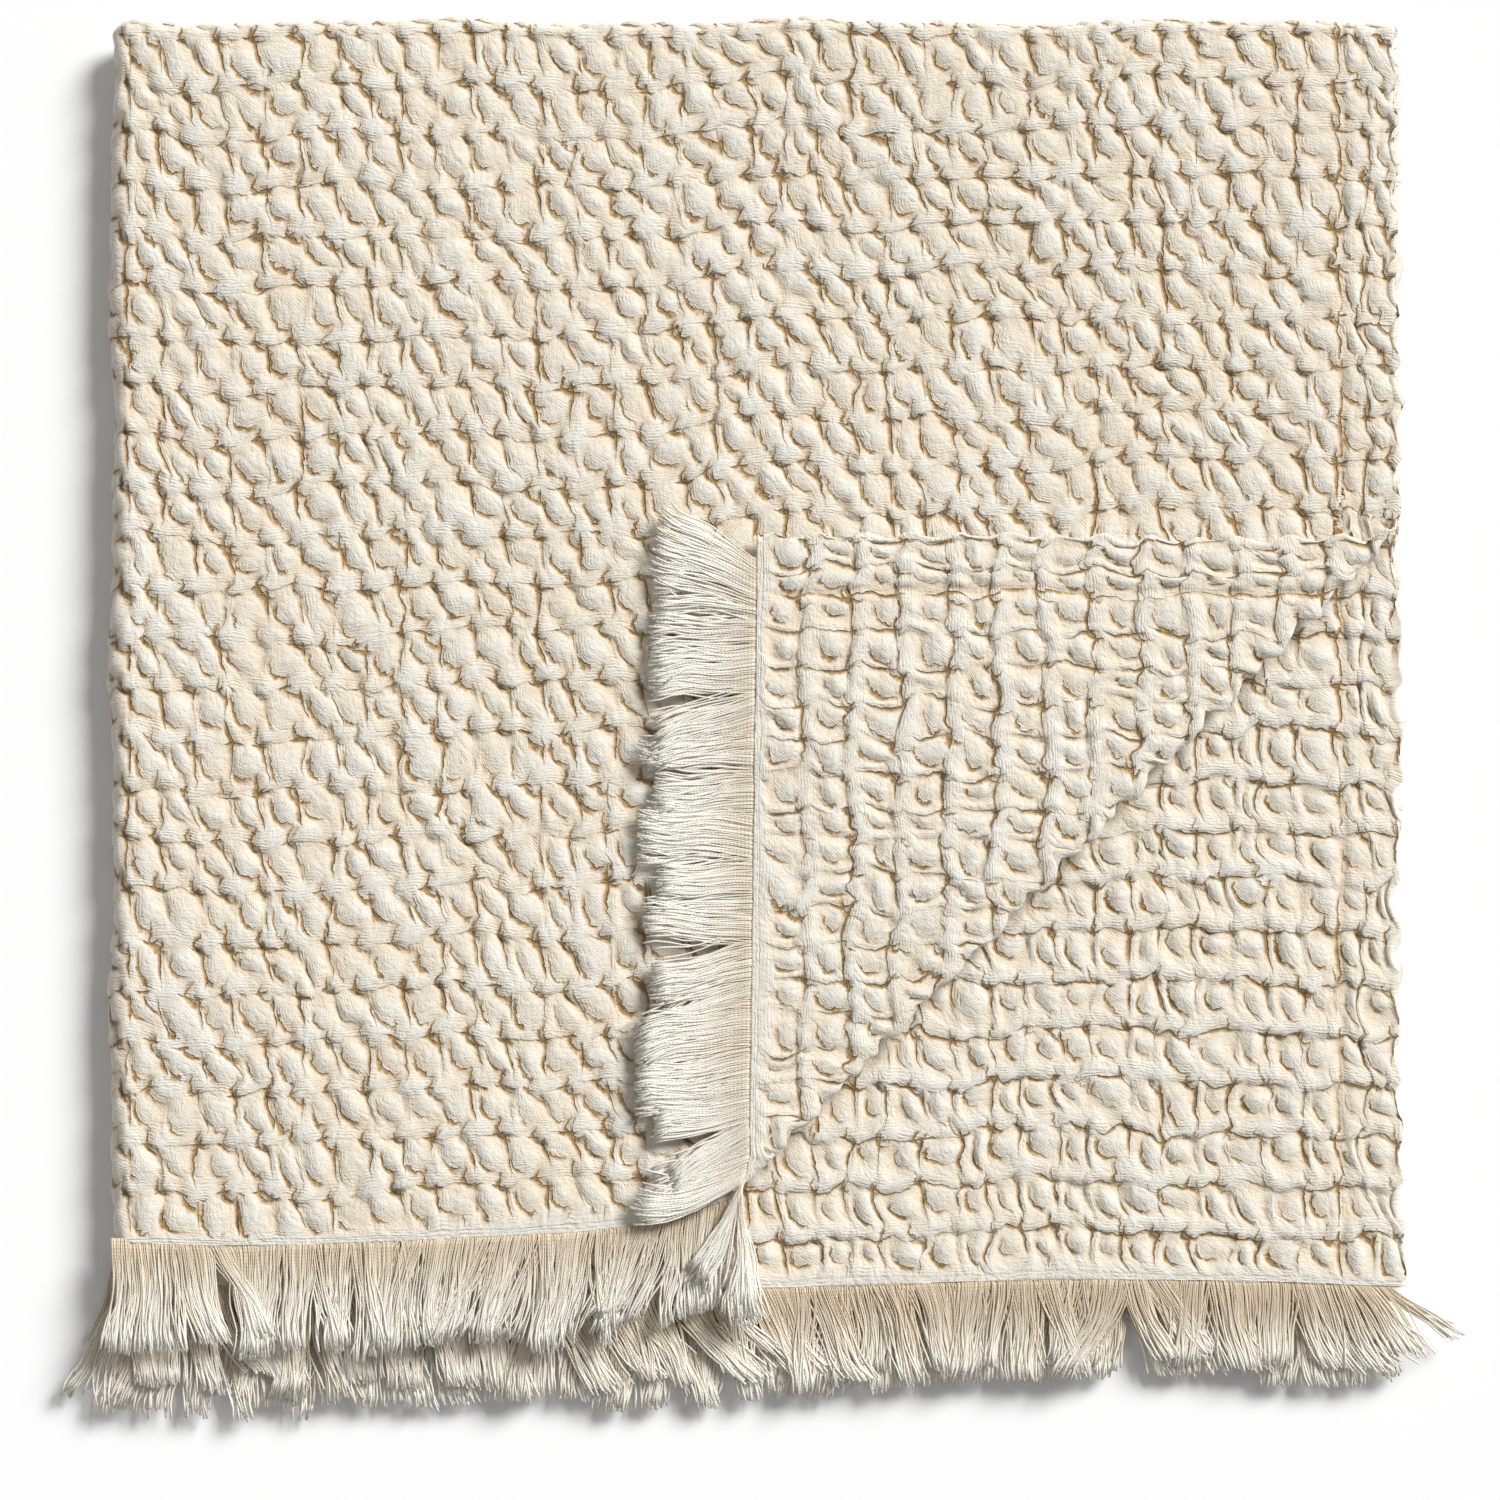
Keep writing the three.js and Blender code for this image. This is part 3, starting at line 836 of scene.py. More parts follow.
    def relief(self) -> Relief:
        """Work out the face's relief.

        Height is the greatest of four forms over the cell's floor: a welt along each row, a rib down each
        side of the cell, a joint where they meet and a pillow in the cell. Crevices are cut into it, a
        groove runs along each side hem, the strips are plain, and the side edges are rounded.

        Returns:
            Heights in millimetres over the sheet's middle, with the shares that the finish reads.
        """
        cloth = self.cloth
        weave = self.weave
        net = self.net
        pillows, pillow_feet = self.pillows()
        ribs, slits = self.ribs()
        welts, unders = self.welts()
        joints, joint_feet = self.joints()
        rise = np.maximum.reduce([pillows, joints, ribs, welts])
        crevice = np.maximum.reduce([pillow_feet, slits, unders, joint_feet])
        crevice = crevice * np.clip(weave.crevice_most - rise / weave.joint.height, 0, 1)
        crumple_v = self.at_v * weave.crumple_down
        crumple_u = self.at_u * weave.crumple_across
        crumple = self.eased(Chance.CRUMPLE, crumple_v, crumple_u)
        lift = weave.floor + rise - weave.trench * crevice + weave.crumple * crumple
        from_hem = np.abs(np.abs(net.u) - net.hem_line())
        groove = np.clip(1 - (from_hem / cloth.groove_half) ** 2, 0, 1)[None, :]
        fill = cloth.groove_spread * self.eased(Chance.GROOVE, cloth.groove_waves * self.at_v, self.at_u)
        groove = groove * np.clip(cloth.groove_fill + fill, 0, 1)
        lift = lift * (1 - groove) + (weave.floor - cloth.groove_deep) * groove
        cords = cloth.strip_cord * np.cos(self.share_v * cloth.strip_cords * FULL_TURN)
        lift = np.where(self.strip, cloth.strip_lift + cords, lift)
        side_end = np.clip(1 - (net.u_lines[-1] - np.abs(net.u)) / cloth.side_round, 0, 1)[None, :]
        lift = lift + (cloth.side_lift - lift) * side_end ** 2
        return Relief(
            lift=np.where(self.end_edge, cloth.rim_lift, lift),
            crevice=crevice,
            rib=np.clip(ribs / weave.rib.height, 0, 1),
            welt=np.clip(np.maximum(welts / weave.welt.height, joints / weave.joint.height), 0, 1),
            crumple=crumple,
            groove=groove,
        )

    def shifted(self, welt: Array) -> tuple[Array, Array]:
        """Move the lattice out of its straight lines.

        Cells sway and drift, ribs lean and bow, and side edges are scalloped by the welts' ends. Folds and
        hems hold the lattice in place.

        Args:
            welt: How much of a welt each point is.

        Returns:
            Places across and along on the flat sheet.
        """
        cloth = self.cloth
        weave = self.weave
        net = self.net
        loose = np.where(self.strip, cloth.strip_loose, 1.0) * ~self.edge
        leaning = weave.lean + weave.lean_spread * self.eased(Chance.LEAN, self.cell_v, self.at_u)
        bow = 4 * self.share_v * (1 - self.share_v)
        bowing = weave.bow * (1 + weave.bow_spread * self.eased(Chance.BOW, self.cell_v, self.at_u))
        slow_v = self.at_v / weave.drift_cells
        slow_u = self.at_u / weave.drift_cells
        drift_u = weave.drift * self.eased(Chance.DRIFT_ACROSS, slow_v, slow_u)
        drift_v = weave.drift * self.eased(Chance.DRIFT_DOWN, slow_v, slow_u)
        sway_u = weave.sway_across * self.eased(Chance.SWAY_ACROSS, self.at_v, self.at_u)
        sway_v = weave.sway_down * self.eased(Chance.SWAY_DOWN, self.at_v, self.at_u)
        shift_u = loose * (sway_u + drift_u)
        shift_u = shift_u + np.where(self.strip, 0, weave.lean_run.over(self.down) * leaning + bow * bowing)
        shift_v = loose * (sway_v + drift_v)
        fold_hold = np.clip((np.abs(net.v) - cloth.plan.crown_arc) / cloth.fold_hold, 0, 1)[:, None]
        side_hold = np.clip((np.abs(net.u) - cloth.plan.side_arc) / cloth.side_hold, 0, 1)[None, :]
        hem_hold = cloth.hem_hold.over(np.abs(net.hem_line() - np.abs(net.u)))[None, :]
        spread = 1 + weave.scallop_spread * self.eased(Chance.SCALLOP, self.at_v, self.at_u)
        scallop = weave.scallop * (welt - weave.scallop_middle) * spread
        scallop = np.where(self.side_edge, np.sign(net.u)[None, :] * scallop, 0)
        u = net.u[None, :] + shift_u * side_hold * hem_hold + scallop
        v = net.v[:, None] + shift_v * fold_hold
        return u, v

    def near(self, seen: Array) -> Array:
        """Points that belong to cells that show."""
        near = np.zeros((self.net.height, self.net.width), dtype=bool)
        shown = self.net.quads(seen)
        for rows in (slice(None, -1), slice(1, None)):
            for columns in (slice(None, -1), slice(1, None)):
                near[rows, columns] |= shown
        return near

    def surface(self) -> Surface:
        """Carry the face to where it lies in the folded blanket.

        Hidden cells are plain. The back sinks a little along the turned corner's fold, and a painted shadow
        of the fold is added to its crevices there. The fold itself is kept clear of crevices and of painted
        shade.

        Returns:
            Places in millimetres and what the finish reads at them.
        """
        cloth = self.cloth
        weave = self.weave
        net = self.net
        relief = self.relief()
        seen = cloth.seen_cells(weave.side)
        near = self.near(seen)
        lift = np.where(near, relief.lift, np.where(self.edge, cloth.rim_lift, cloth.hidden_lift))
        u, v = self.shifted(relief.welt)
        points = cloth.plan.place(u, v, weave.side.value * lift)
        past = (points[..., 0] - points[..., 1] - cloth.plan.turn_line) / ROOT_TWO
        # The groove along each side hem gets painted shade as well.
        crevice = np.maximum(relief.crevice, cloth.groove_shade * relief.groove)
        if weave.side is Side.BACK:
            under = near & (net.v < -cloth.plan.crown_arc)[:, None] & (net.u > cloth.plan.side_arc)[None, :]
            sunk = cloth.crease_deep * bell((past - cloth.crease_at) / cloth.crease_half)
            points[..., 2] -= np.where(under, sunk, 0)
            # Painted shadow of the turned fold on the back, uneven with the crumple.
            dark = np.clip(cloth.crease_dark + relief.crumple, cloth.crease_least, 1)
            shade = dark * bell((past - cloth.crease_at) / cloth.crease_shade)
            crevice = np.maximum(crevice, np.where(under, shade, 0))
        # How low a point lies in its cell; the finish paints warmer, darker shade there.
        cavity = np.clip(1 - (lift - weave.floor) / (weave.cavity_share * weave.joint.height), 0, 1)
        top = (net.v > 0)[:, None] & (net.u > 0)[None, :]
        clear = near * np.where(top, np.clip(-past / cloth.turn_clear - cloth.turn_bare, 0, 1), 1)
        return Surface(
            points=points,
            cavity=np.where(self.strip, 0, cavity) * clear,
            crevice=np.where(self.strip | self.edge, 0, crevice) * clear,
            rib=np.where(self.strip, 0, relief.rib * (1 - relief.welt)),
            welt=np.where(self.strip, 1, relief.welt),
            tone=self.eased(Chance.TONE, self.at_v, self.at_u),
            seen=seen,
        )

    def lump_maps(self, seen: Array) -> dict[str, Array]:
        """Find places from the lumps and ridges at the corners of the fine quads, exact within each cell.

        Args:
            seen: Cells that show.

        Returns:
            Shares across and down from the cell's pillow and from the nearest joint, and shares of a cell
            from the feet of the right rib and of the upper welt, for each corner.
        """
        weave = self.weave
        net = self.net
        j, i = np.nonzero(net.quads(seen))
        row = (j // net.along)[:, None]
        column = (i // net.across)[:, None]
        across_steps = np.append(net.ACROSS_STEPS, 1)
        along_steps = np.concatenate([net.along_steps, np.ones((net.rows, 1))], axis=1)
        across = across_steps[(i % net.across)[:, None] + np.array([0, 0, 1, 1])]
        along = along_steps[row, (j % net.along)[:, None] + np.array([0, 1, 1, 0])]
        outward = net.v_lines[row] > net.inner_start
        down = np.where(outward, along, 1 - along)
        right = (across.mean(axis=1, keepdims=True) > 0.5).astype(int)
        lower = (down.mean(axis=1, keepdims=True) > 0.5).astype(int)
        welt = np.where(outward, row + lower, row + 1 - lower)
        upper = np.where(outward, row, row + 1)
        rib_foot = weave.rib.edge + weave.rib.steep / 2
        welt_foot = weave.welt.edge + weave.welt.steep / 2
        rib_at = self.rib_at(row, column + 1, across - 1, row + along) + rib_foot
        welt_at = self.welt_at(upper, -down, column + across) + welt_foot
        places = {
            "pillow": self.pillow_shares(row, column, across, down),
            "joint": self.joint_shares(welt, column + right, across - right, down - lower),
            "ridge": (rib_at, welt_at),
        }
        order = weave.side.value
        return {key: np.stack(pair, axis=-1)[:, ::order].reshape(-1, 2) for key, pair in places.items()}


@dataclass
class BlanketCloth:
    """The woven sheet with its side hems and plain strips, as one closed mesh."""

    plan: FoldPlan
    columns: int = 35
    outer_rows: int = 24
    inner_rows: int = 25
    hem: float = 27.0
    strip: float = 3.2
    hidden_lift: float = 3.1
    rim_lift: float = 0.9
    rim_round: float = 0.9
    rim_section: float = 0.22
    side_lift: float = 0.25
    side_round: float = 4.5
    strip_lift: float = 0.8
    strip_cord: float = 0.1
    strip_cords: int = 2
    strip_loose: float = 0.3
    groove_half: float = 2.8
    groove_deep: float = 0.4
    groove_fill: float = 0.8
    groove_spread: float = 0.4
    groove_waves: float = 1.7
    # How much painted shade the hem groove gets.
    groove_shade: float = 0.7
    fold_hold: float = 20.0
    side_hold: float = 12.0
    hem_hold: Line = Line((4.8, 12.8), (0.3, 0.8))
    crease_at: float = 1.0
    crease_deep: float = 1.6
    crease_half: float = 6.0
    # Width and darkness of the painted shadow along the turned fold.
    crease_shade: float = 4.0
    crease_dark: float = 0.6
    crease_least: float = 0.1
    turn_clear: float = 5.0
    turn_bare: float = 0.3
    flap_left_slack: float = 14.0
    flap_top_slack: float = 16.0
    corner_slack: float = 26.0
    second_slack: float = 34.0
    hem_slack: float = 12.0
    lattice: Lattice = field(init=False)

    def __post_init__(self) -> None:
        """Lay out the lattice."""
        rows = (self.outer_rows, self.inner_rows)
        self.lattice = Lattice(self.plan, self.columns, *rows, self.hem, self.strip)

    def seen_cells(self, side: Side) -> Array:
        """Find the cells of a face that show, so the rest can be plain.

        Args:
            side: Face of the sheet.

        Returns:
            True for each cell that shows, by row and column.
        """
        plan = self.plan
        u, v = self.lattice.middle()
        flat_x = plan.tangent_x + np.abs(u) - plan.side_arc
        upper = u > plan.side_arc
        outer = v > plan.crown_arc
        hem_y = HEMS[Layer.TOP].over(flat_x)
        outer_share = (v - plan.crown_arc) / plan.outer_length
        inner_share = (-v - plan.crown_arc) / plan.inner_length
        outer_y = plan.fold_y + (hem_y - plan.fold_y) * outer_share
        inner_y = plan.fold_y + (HEMS[Layer.SECOND].over(flat_x) - plan.fold_y) * inner_share
        flap_left = plan.turn_line + hem_y
        flap_top = plan.right_x - plan.turn_line
        if side is Side.FRONT:
            covered = flat_x > flap_left + self.flap_left_slack
            covered &= outer_y < flap_top - self.flap_top_slack
            round_left = (np.abs(u) < plan.side_arc) & (v > -plan.crown_arc)
            round_top = np.abs(v) < plan.crown_arc
            return (upper & outer & ~covered) | round_left | round_top
        corner = upper & outer & (flat_x - outer_y > plan.turn_start - self.corner_slack)
        past_flap = flat_x - inner_y > plan.turn_start - self.second_slack
        uncovered = past_flap | (inner_y < hem_y + self.hem_slack)
        return corner | (upper & (v < -plan.crown_arc) & uncovered)

    def fine_faces(self, surface: Surface, side: Side, base: int) -> Array:
        """Quads of the cells that show.

        Args:
            surface: One face of the cloth.
            side: Which face it is.
            base: Number of the face's first point.

        Returns:
            Four point numbers for each quad, turned outwards.
        """
        net = self.lattice
        j, i = np.nonzero(net.quads(surface.seen))
        first = base + j * net.width + i
        quads = np.stack([first, first + net.width, first + net.width + 1, first + 1], axis=1)
        return quads if side is Side.FRONT else quads[:, ::-1]

    def plain_faces(self, surface: Surface, side: Side, base: int) -> tuple[Array, Array]:
        """One polygon for each hidden cell, through the points that its neighbours use.

        Args:
            surface: One face of the cloth.
            side: Which face it is.
            base: Number of the face's first point.

        Returns:
            The polygons' loops and how many each one has.
        """
        net = self.lattice
        seen = np.pad(surface.seen, 1, constant_values=True)
        row, column = np.nonzero(~surface.seen)
        left = seen[row + 1, column]
        below = seen[row + 2, column + 1]
        right = seen[row + 1, column + 2]
        above = seen[row, column + 1]
        down = np.arange(net.along)
        over = np.arange(net.across)
        step_j = np.concatenate([down, 0 * over + net.along, net.along - down, 0 * over])
        step_i = np.concatenate([0 * down, over, 0 * down + net.across, net.across - over])
        edge = np.repeat([0, 1, 2, 3], [net.along, net.across, net.along, net.across])
        is_corner = np.concatenate([down == 0, over == 0, down == 0, over == 0])
        in_use = np.stack([left, below, right, above], axis=1)[:, edge] | is_corner[None, :]
        j = row[:, None] * net.along + step_j[None, :]
        i = column[:, None] * net.across + step_i[None, :]
        numbers = base + j * net.width + i
        if side is Side.BACK:
            numbers = numbers[:, ::-1]
            in_use = in_use[:, ::-1]
        return numbers[in_use], in_use.sum(axis=1)

    def rim(self, front: Surface, back: Surface, base: int) -> tuple[Array, Array, Array]:
        """Round off the four edges of the sheet between its faces.

        Two more rows of points stand outside the edge, between the faces' edge points, so the section of
        the edge is half of an octagon.

        Args:
            front: Front face.
            back: Back face.
            base: Number of the first new point.

        Returns:
            The new points, the quads, and the lattice number under each new point.
        """
        net = self.lattice
        across = np.arange(net.width - 1)
        along = np.arange(net.height - 1)
        j = np.concatenate([0 * across, along, 0 * across + net.height - 1, net.height - 1 - along])
        i = np.concatenate([across, 0 * along + net.width - 1, net.width - 1 - across, 0 * along])
        ring = j * net.width + i
        flat_front = front.points.reshape(-1, 3)
        flat_back = back.points.reshape(-1, 3)
        inner_j = np.clip(j, 1, net.height - 2)
        inner_i = np.clip(i, 1, net.width - 2)
        inner = inner_j * net.width + inner_i
        middle = (flat_front[ring] + flat_back[ring]) / 2
        inward = middle - (flat_front[inner] + flat_back[inner]) / 2
        across_edge = flat_front[ring] - flat_back[ring]
        thickness = np.linalg.norm(across_edge, axis=1, keepdims=True) + TINY
        inward -= across_edge * np.sum(inward * across_edge, axis=1, keepdims=True) / thickness ** 2
        outward = inward / (np.linalg.norm(inward, axis=1, keepdims=True) + TINY)
        upper = middle + self.rim_section * across_edge + outward * self.rim_round
        lower = middle - self.rim_section * across_edge + outward * self.rim_round
        points = np.concatenate([upper, lower])
        points[:, 2] = np.maximum(points[:, 2], 0)
        count = len(ring)
        step = np.arange(count)
        after = (step + 1) % count
        columns = [ring, base + step, base + count + step, net.width * net.height + ring]
        pairs = zip(columns[:-1], columns[1:])
        quads = [np.stack([a[step], a[after], b[after], b[step]], axis=1) for a, b in pairs]
        return points, np.concatenate(quads), np.concatenate([ring, ring])

    def build(self, material: bpy.types.Material) -> bpy.types.Object:
        """Make the cloth.

        Args:
            material: Its finish.

        Returns:
            The cloth as one object.
        """
        net = self.lattice
        faces = [WeaveFace(self, weave) for weave in (FRONT_WEAVE, BACK_WEAVE)]
        front, back = [face.surface() for face in faces]
        count = net.width * net.height
        rim_points, rim_quads, rim_source = self.rim(front, back, 2 * count)
        points = np.concatenate([front.points.reshape(-1, 3), back.points.reshape(-1, 3), rim_points])
        loops = [self.fine_faces(front, Side.FRONT, 0), self.fine_faces(back, Side.BACK, count), rim_quads]
        sizes = [np.full(len(quads), 4) for quads in loops]
        loops = [quads.ravel() for quads in loops]
        for surface, side, base in ((front, Side.FRONT, 0), (back, Side.BACK, count)):
            plain, plain_sizes = self.plain_faces(surface, side, base)
            loops.append(plain)
            sizes.append(plain_sizes)
        loops = np.concatenate(loops)
        sizes = np.concatenate(sizes)
        grid = np.stack(np.meshgrid(net.u, net.v), axis=-1).reshape(-1, 2)
        flat = np.concatenate([grid, grid, grid[rim_source]])
        fine = [face.lump_maps(surface.seen) for face, surface in zip(faces, (front, back))]
        lumps = {}
        for key in fine[0]:
            shares = np.concatenate([maps[key] for maps in fine])
            lumps[key] = np.concatenate([shares, np.zeros((len(loops) - len(shares), 2))])
        values = {}
        for key in CLOTH_VALUES:
            over, under = (getattr(surface, key).ravel() for surface in (front, back))
            values[key] = np.concatenate([over, under, over[rim_source]])
        used = np.zeros(len(points), dtype=bool)
        used[loops] = True
        number = np.cumsum(used) - 1
        parts = MeshParts(
            points=points[used],
            loops=number[loops],
            starts=np.concatenate([[0], np.cumsum(sizes)[:-1]]),
            maps={"yarn": flat[loops] * MM, **lumps},
            values={key: numbers[used] for key, numbers in values.items()},
        )
        return parts.to_object("waffle_cloth", material)


@dataclass
class Locks:
    """What each yarn of a run has from its lock. The lock's middle and half width are along the run."""

    middle: Array
    half: Array
    turn: Array
    curl: Array
    length: Array
    close: Array
    rise: Array
    phase: Array


@dataclass(frozen=True)
class FringeRun:
    """A run of fringe: loose warp yarns that leave the cloth's edge in locks and lie where they fall."""

    name: str
    node: str
    seed: int
    plan: FoldPlan
    length: float = 55.0
    spacing: float = 0.42
    radius: float = 0.42
    # Painted shade of the whole run where it lies under the layers above: more is browner and darker, less
    # is paler.
    painted_shade: float = 0.0
    lock_pitch: float = 9.0
    lock_turn: float = 0.18
    lock_curl: float = 5.5
    lock_close: float = 0.36
    lock_mix: float = 0.38
    lock_widths: Pair = (0.4, 1.7)
    lock_lengths: Pair = (0.86, 1.06)
    lock_closes: Pair = (0.5, 1.4)
    lock_wave: float = 1.6
    lock_waves: float = 1.1
    lock_lift: float = 1.6
    spare_locks: int = 4
    bundle: float = 0.9
    close_power: float = 1.4
    close_early: float = 0.9
    wave_power: float = 0.8
    yarn_jitter: float = 0.35
    yarn_lengths: Pair = (0.94, 1.03)
    yarn_turn: float = 0.03
    yarn_curl: float = 1.2
    yarn_wave: float = 1.05
    yarn_waves: Pair = (0.8, 2.2)
    yarn_heave: float = 0.4
    yarn_stack: float = 0.35
    yarn_sizes: Pair = (0.8, 1.2)
    fraying: Pair = (0.9, 1.35)
    stray_share: float = 0.06
    stray_short: float = 0.08
    stray_curl: float = 8.0
    steps: int = 9
    sides: int = 4
    flatness: float = 0.6
    sunk: float = 2.0

    def stations(self) -> Array:
        """Positions of the yarns along the run."""
        raise NotImplementedError

    def roots(self, station: Array) -> Array:
        """Places where yarns leave the edge, as x and y."""
        raise NotImplementedError

    def bearing(self, station: Array) -> Array:
        """Directions in which yarns leave the edge."""
        raise NotImplementedError

    def level(self, x: Array, y: Array, reach: Array) -> Array:
        """Heights at which yarns lie."""
        raise NotImplementedError

    def locks(self, rng: np.random.Generator, place: Array) -> Locks:
        """Part the yarns into locks of uneven width, with some yarns in the lock next to their own.

        Args:
            rng: Source of the unevenness.
            place: Places of the yarns along the run.

        Returns:
            The numbers of each yarn's lock.
        """
        first = place.min()
        most = int(2 * (place.max() - first) / self.lock_pitch) + self.spare_locks
        widths = self.lock_pitch * rng.uniform(*self.lock_widths, most)
        ends = first + np.cumsum(widths)
        lock = np.searchsorted(ends, place + rng.normal(0, self.lock_mix * self.lock_pitch, len(place)))
        count = lock.max() + 2
        return Locks(
            middle=(ends - widths / 2)[lock],
            half=(widths / 2)[lock],
            turn=rng.normal(0, self.lock_turn, count)[lock],
            curl=rng.normal(0, self.lock_curl, count)[lock],
            length=rng.uniform(*self.lock_lengths, count)[lock],
            close=self.lock_close * rng.uniform(*self.lock_closes, count)[lock],
            rise=rng.uniform(0, 1, count)[lock],
            phase=rng.uniform(0, FULL_TURN, count)[lock],
        )

    def paths(self, rng: np.random.Generator) -> Array:
        """Middle lines of the yarns.

        A yarn goes straight out on its lock's bearing. On the way it closes on the middle of its lock,
        curls to one side with the square of its reach, and waves sideways with its lock, and sideways and
        up and down by itself.

        Args:
            rng: Source of the unevenness.

        Returns:
            Places in millimetres, by yarn and by step, with x, y and z last.
        """
        station = self.stations()
        count = len(station)
        station = station + rng.uniform(-self.yarn_jitter, self.yarn_jitter, count) * self.spacing
        place = self.spread(station)
        locks = self.locks(rng, place)
        loose = self.looseness(station)
        stray = (rng.uniform(0, 1, count) < self.stray_share).astype(float)
        share = np.linspace(0, 1, self.steps + 1)[None, :]
        length = self.length * locks.length * rng.uniform(*self.yarn_lengths, count)
        length = length * (1 - self.stray_short * stray) * self.longer(station)
        reach = -self.sunk + (length[:, None] + self.sunk) * share
        out = np.maximum(reach, 0) / self.length
        bearing = self.bearing(station) + loose * locks.turn + rng.normal(0, self.yarn_turn, count)
        curl = loose * locks.curl + rng.normal(0, self.yarn_curl, count)
        curl = curl + stray * rng.normal(0, self.stray_curl, count)
        side_phase, _, heave_phase = rng.uniform(0, FULL_TURN, (3, count))[:, :, None]
        side_waves, heave_waves = rng.uniform(*self.yarn_waves, (2, count))[:, :, None]
        close = ((locks.middle - place) * locks.close)[:, None] * out ** self.close_power
        aside = close * (1 + self.close_early - self.close_early * out) + curl[:, None] * out ** 2
        growth = out ** self.wave_power
        lock_angle = FULL_TURN * self.lock_waves * out + locks.phase[:, None]
        aside = aside + self.lock_wave * growth * np.sin(lock_angle)
        aside = aside + self.yarn_wave * growth * np.sin(FULL_TURN * side_waves * out + side_phase)
        along = np.stack([np.cos(bearing), np.sin(bearing)], axis=1)[:, None, :]
        side = np.stack([along[..., 1], -along[..., 0]], axis=-1) * self.hand()
        flat = self.roots(station)[:, None, :] + reach[..., None] * along + aside[..., None] * side
        stack = self.yarn_stack * rng.uniform(-1, 1, count)[:, None]
        heave = self.yarn_heave * out * np.sin(FULL_TURN * heave_waves * out + heave_phase)
        crown = np.clip(1 - ((place - locks.middle) / locks.half) ** 2, 0, 1)
        bundle = (self.bundle * crown + self.lock_lift * locks.rise)[:, None] * np.sqrt(out)
        z = self.level(flat[..., 0], flat[..., 1], reach) + stack + bundle + heave
        points = self.plan.settle(np.concatenate([flat, z[..., None]], axis=-1))
        points[..., 2] = np.maximum(points[..., 2], self.radius)
        return points

    def hand(self) -> float:
        """Sign that makes the side direction follow the run's stations."""
        return 1.0

    def looseness(self, station: Array) -> Array:
        """How much more than usual the locks turn and curl."""
        return np.ones_like(station)

    def longer(self, station: Array) -> Array:
        """How much longer than usual the yarns are."""
        return np.ones_like(station)

    def spread(self, station: Array) -> Array:
        """Stations as far apart as the yarns' ends are."""
        return station

    def tubes(self, path: Array, thick: Array) -> Array:
        """Rings of points round the yarns' middle lines, each square to its line and a little flat.

        Args:
            path: Middle lines of the yarns.
            thick: Radius of each yarn at each ring.

        Returns:
            Places by yarn, ring and side, with none below the floor.
        """
        tangent = np.gradient(path, axis=1)
        tangent /= np.linalg.norm(tangent, axis=-1, keepdims=True)
        aside = np.cross(tangent, [0.0, 0.0, 1.0])
        aside /= np.linalg.norm(aside, axis=-1, keepdims=True)
        up = np.cross(aside, tangent)
        angle = np.arange(self.sides) * FULL_TURN / self.sides + QUARTER
        over = self.flatness * np.sin(angle)[:, None] * up[:, :, None, :]
        ring = np.cos(angle)[:, None] * aside[:, :, None, :] + over
        points = path[:, :, None, :] + thick[:, :, None, None] * ring
        points[..., 2] = np.maximum(points[..., 2], 0)
        return points

    def build(self, material: bpy.types.Material) -> bpy.types.Object:
        """Make the run's yarns as tubes in one mesh.

        A tube gets a little thicker to its frayed end, and both its ends are closed. Its map has the share
        of the way round it and the distance along it in metres.

        Args:
            material: Finish of the yarns.

        Returns:
            The run as one object.
        """
        rng = np.random.default_rng(self.seed)
        path = self.paths(rng)
        count, rings = path.shape[:2]
        sides = self.sides
        thick = self.radius * rng.uniform(*self.yarn_sizes, count)[:, None]
        points = self.tubes(path, thick * np.linspace(*self.fraying, rings)[None, :])
        yarn = np.arange(count)[:, None, None] * rings * sides
        step = np.arange(rings - 1)[None, :, None]
        j = np.arange(sides)[None, None, :]
        after = (j + 1) % sides
        low = yarn + step * sides
        high = low + sides
        quads = np.stack([low + j, high + j, high + after, low + after], axis=-1)
        around = np.broadcast_to(j / sides, quads.shape[:3])
        along = np.broadcast_to(step / (rings - 1), quads.shape[:3])
        next_around = around + 1 / sides
        next_along = along + 1 / (rings - 1)
        uv_u = np.stack([around, around, next_around, next_around], axis=-1)
        uv_v = np.stack([along, next_along, next_along, along], axis=-1) * self.length * MM
        first = yarn[:, 0, 0][:, None] + np.arange(sides)[None, :]
        last = first[:, ::-1] + (rings - 1) * sides
        caps = np.concatenate([first, last])
        sizes = np.concatenate([np.full(quads.size // 4, 4), np.full(len(caps), sides)])
        uv = np.stack([uv_u.ravel(), uv_v.ravel()], axis=-1)
        parts = MeshParts(
            points=points.reshape(-1, 3),
            loops=np.concatenate([quads.ravel(), caps.ravel()]),
            starts=np.concatenate([[0], np.cumsum(sizes)[:-1]]),
            maps={"yarn": np.concatenate([uv, np.zeros((caps.size, 2))])},
            values={
                # The tone carries the run's painted shade, plus a random tone for each yarn.
                "tone": np.repeat(self.painted_shade + rng.uniform(-1, 1, count), rings * sides),
                "reach": np.tile(np.repeat(np.linspace(0, 1, rings), sides), count),
            },
        )
        return parts.to_object(self.name, material)


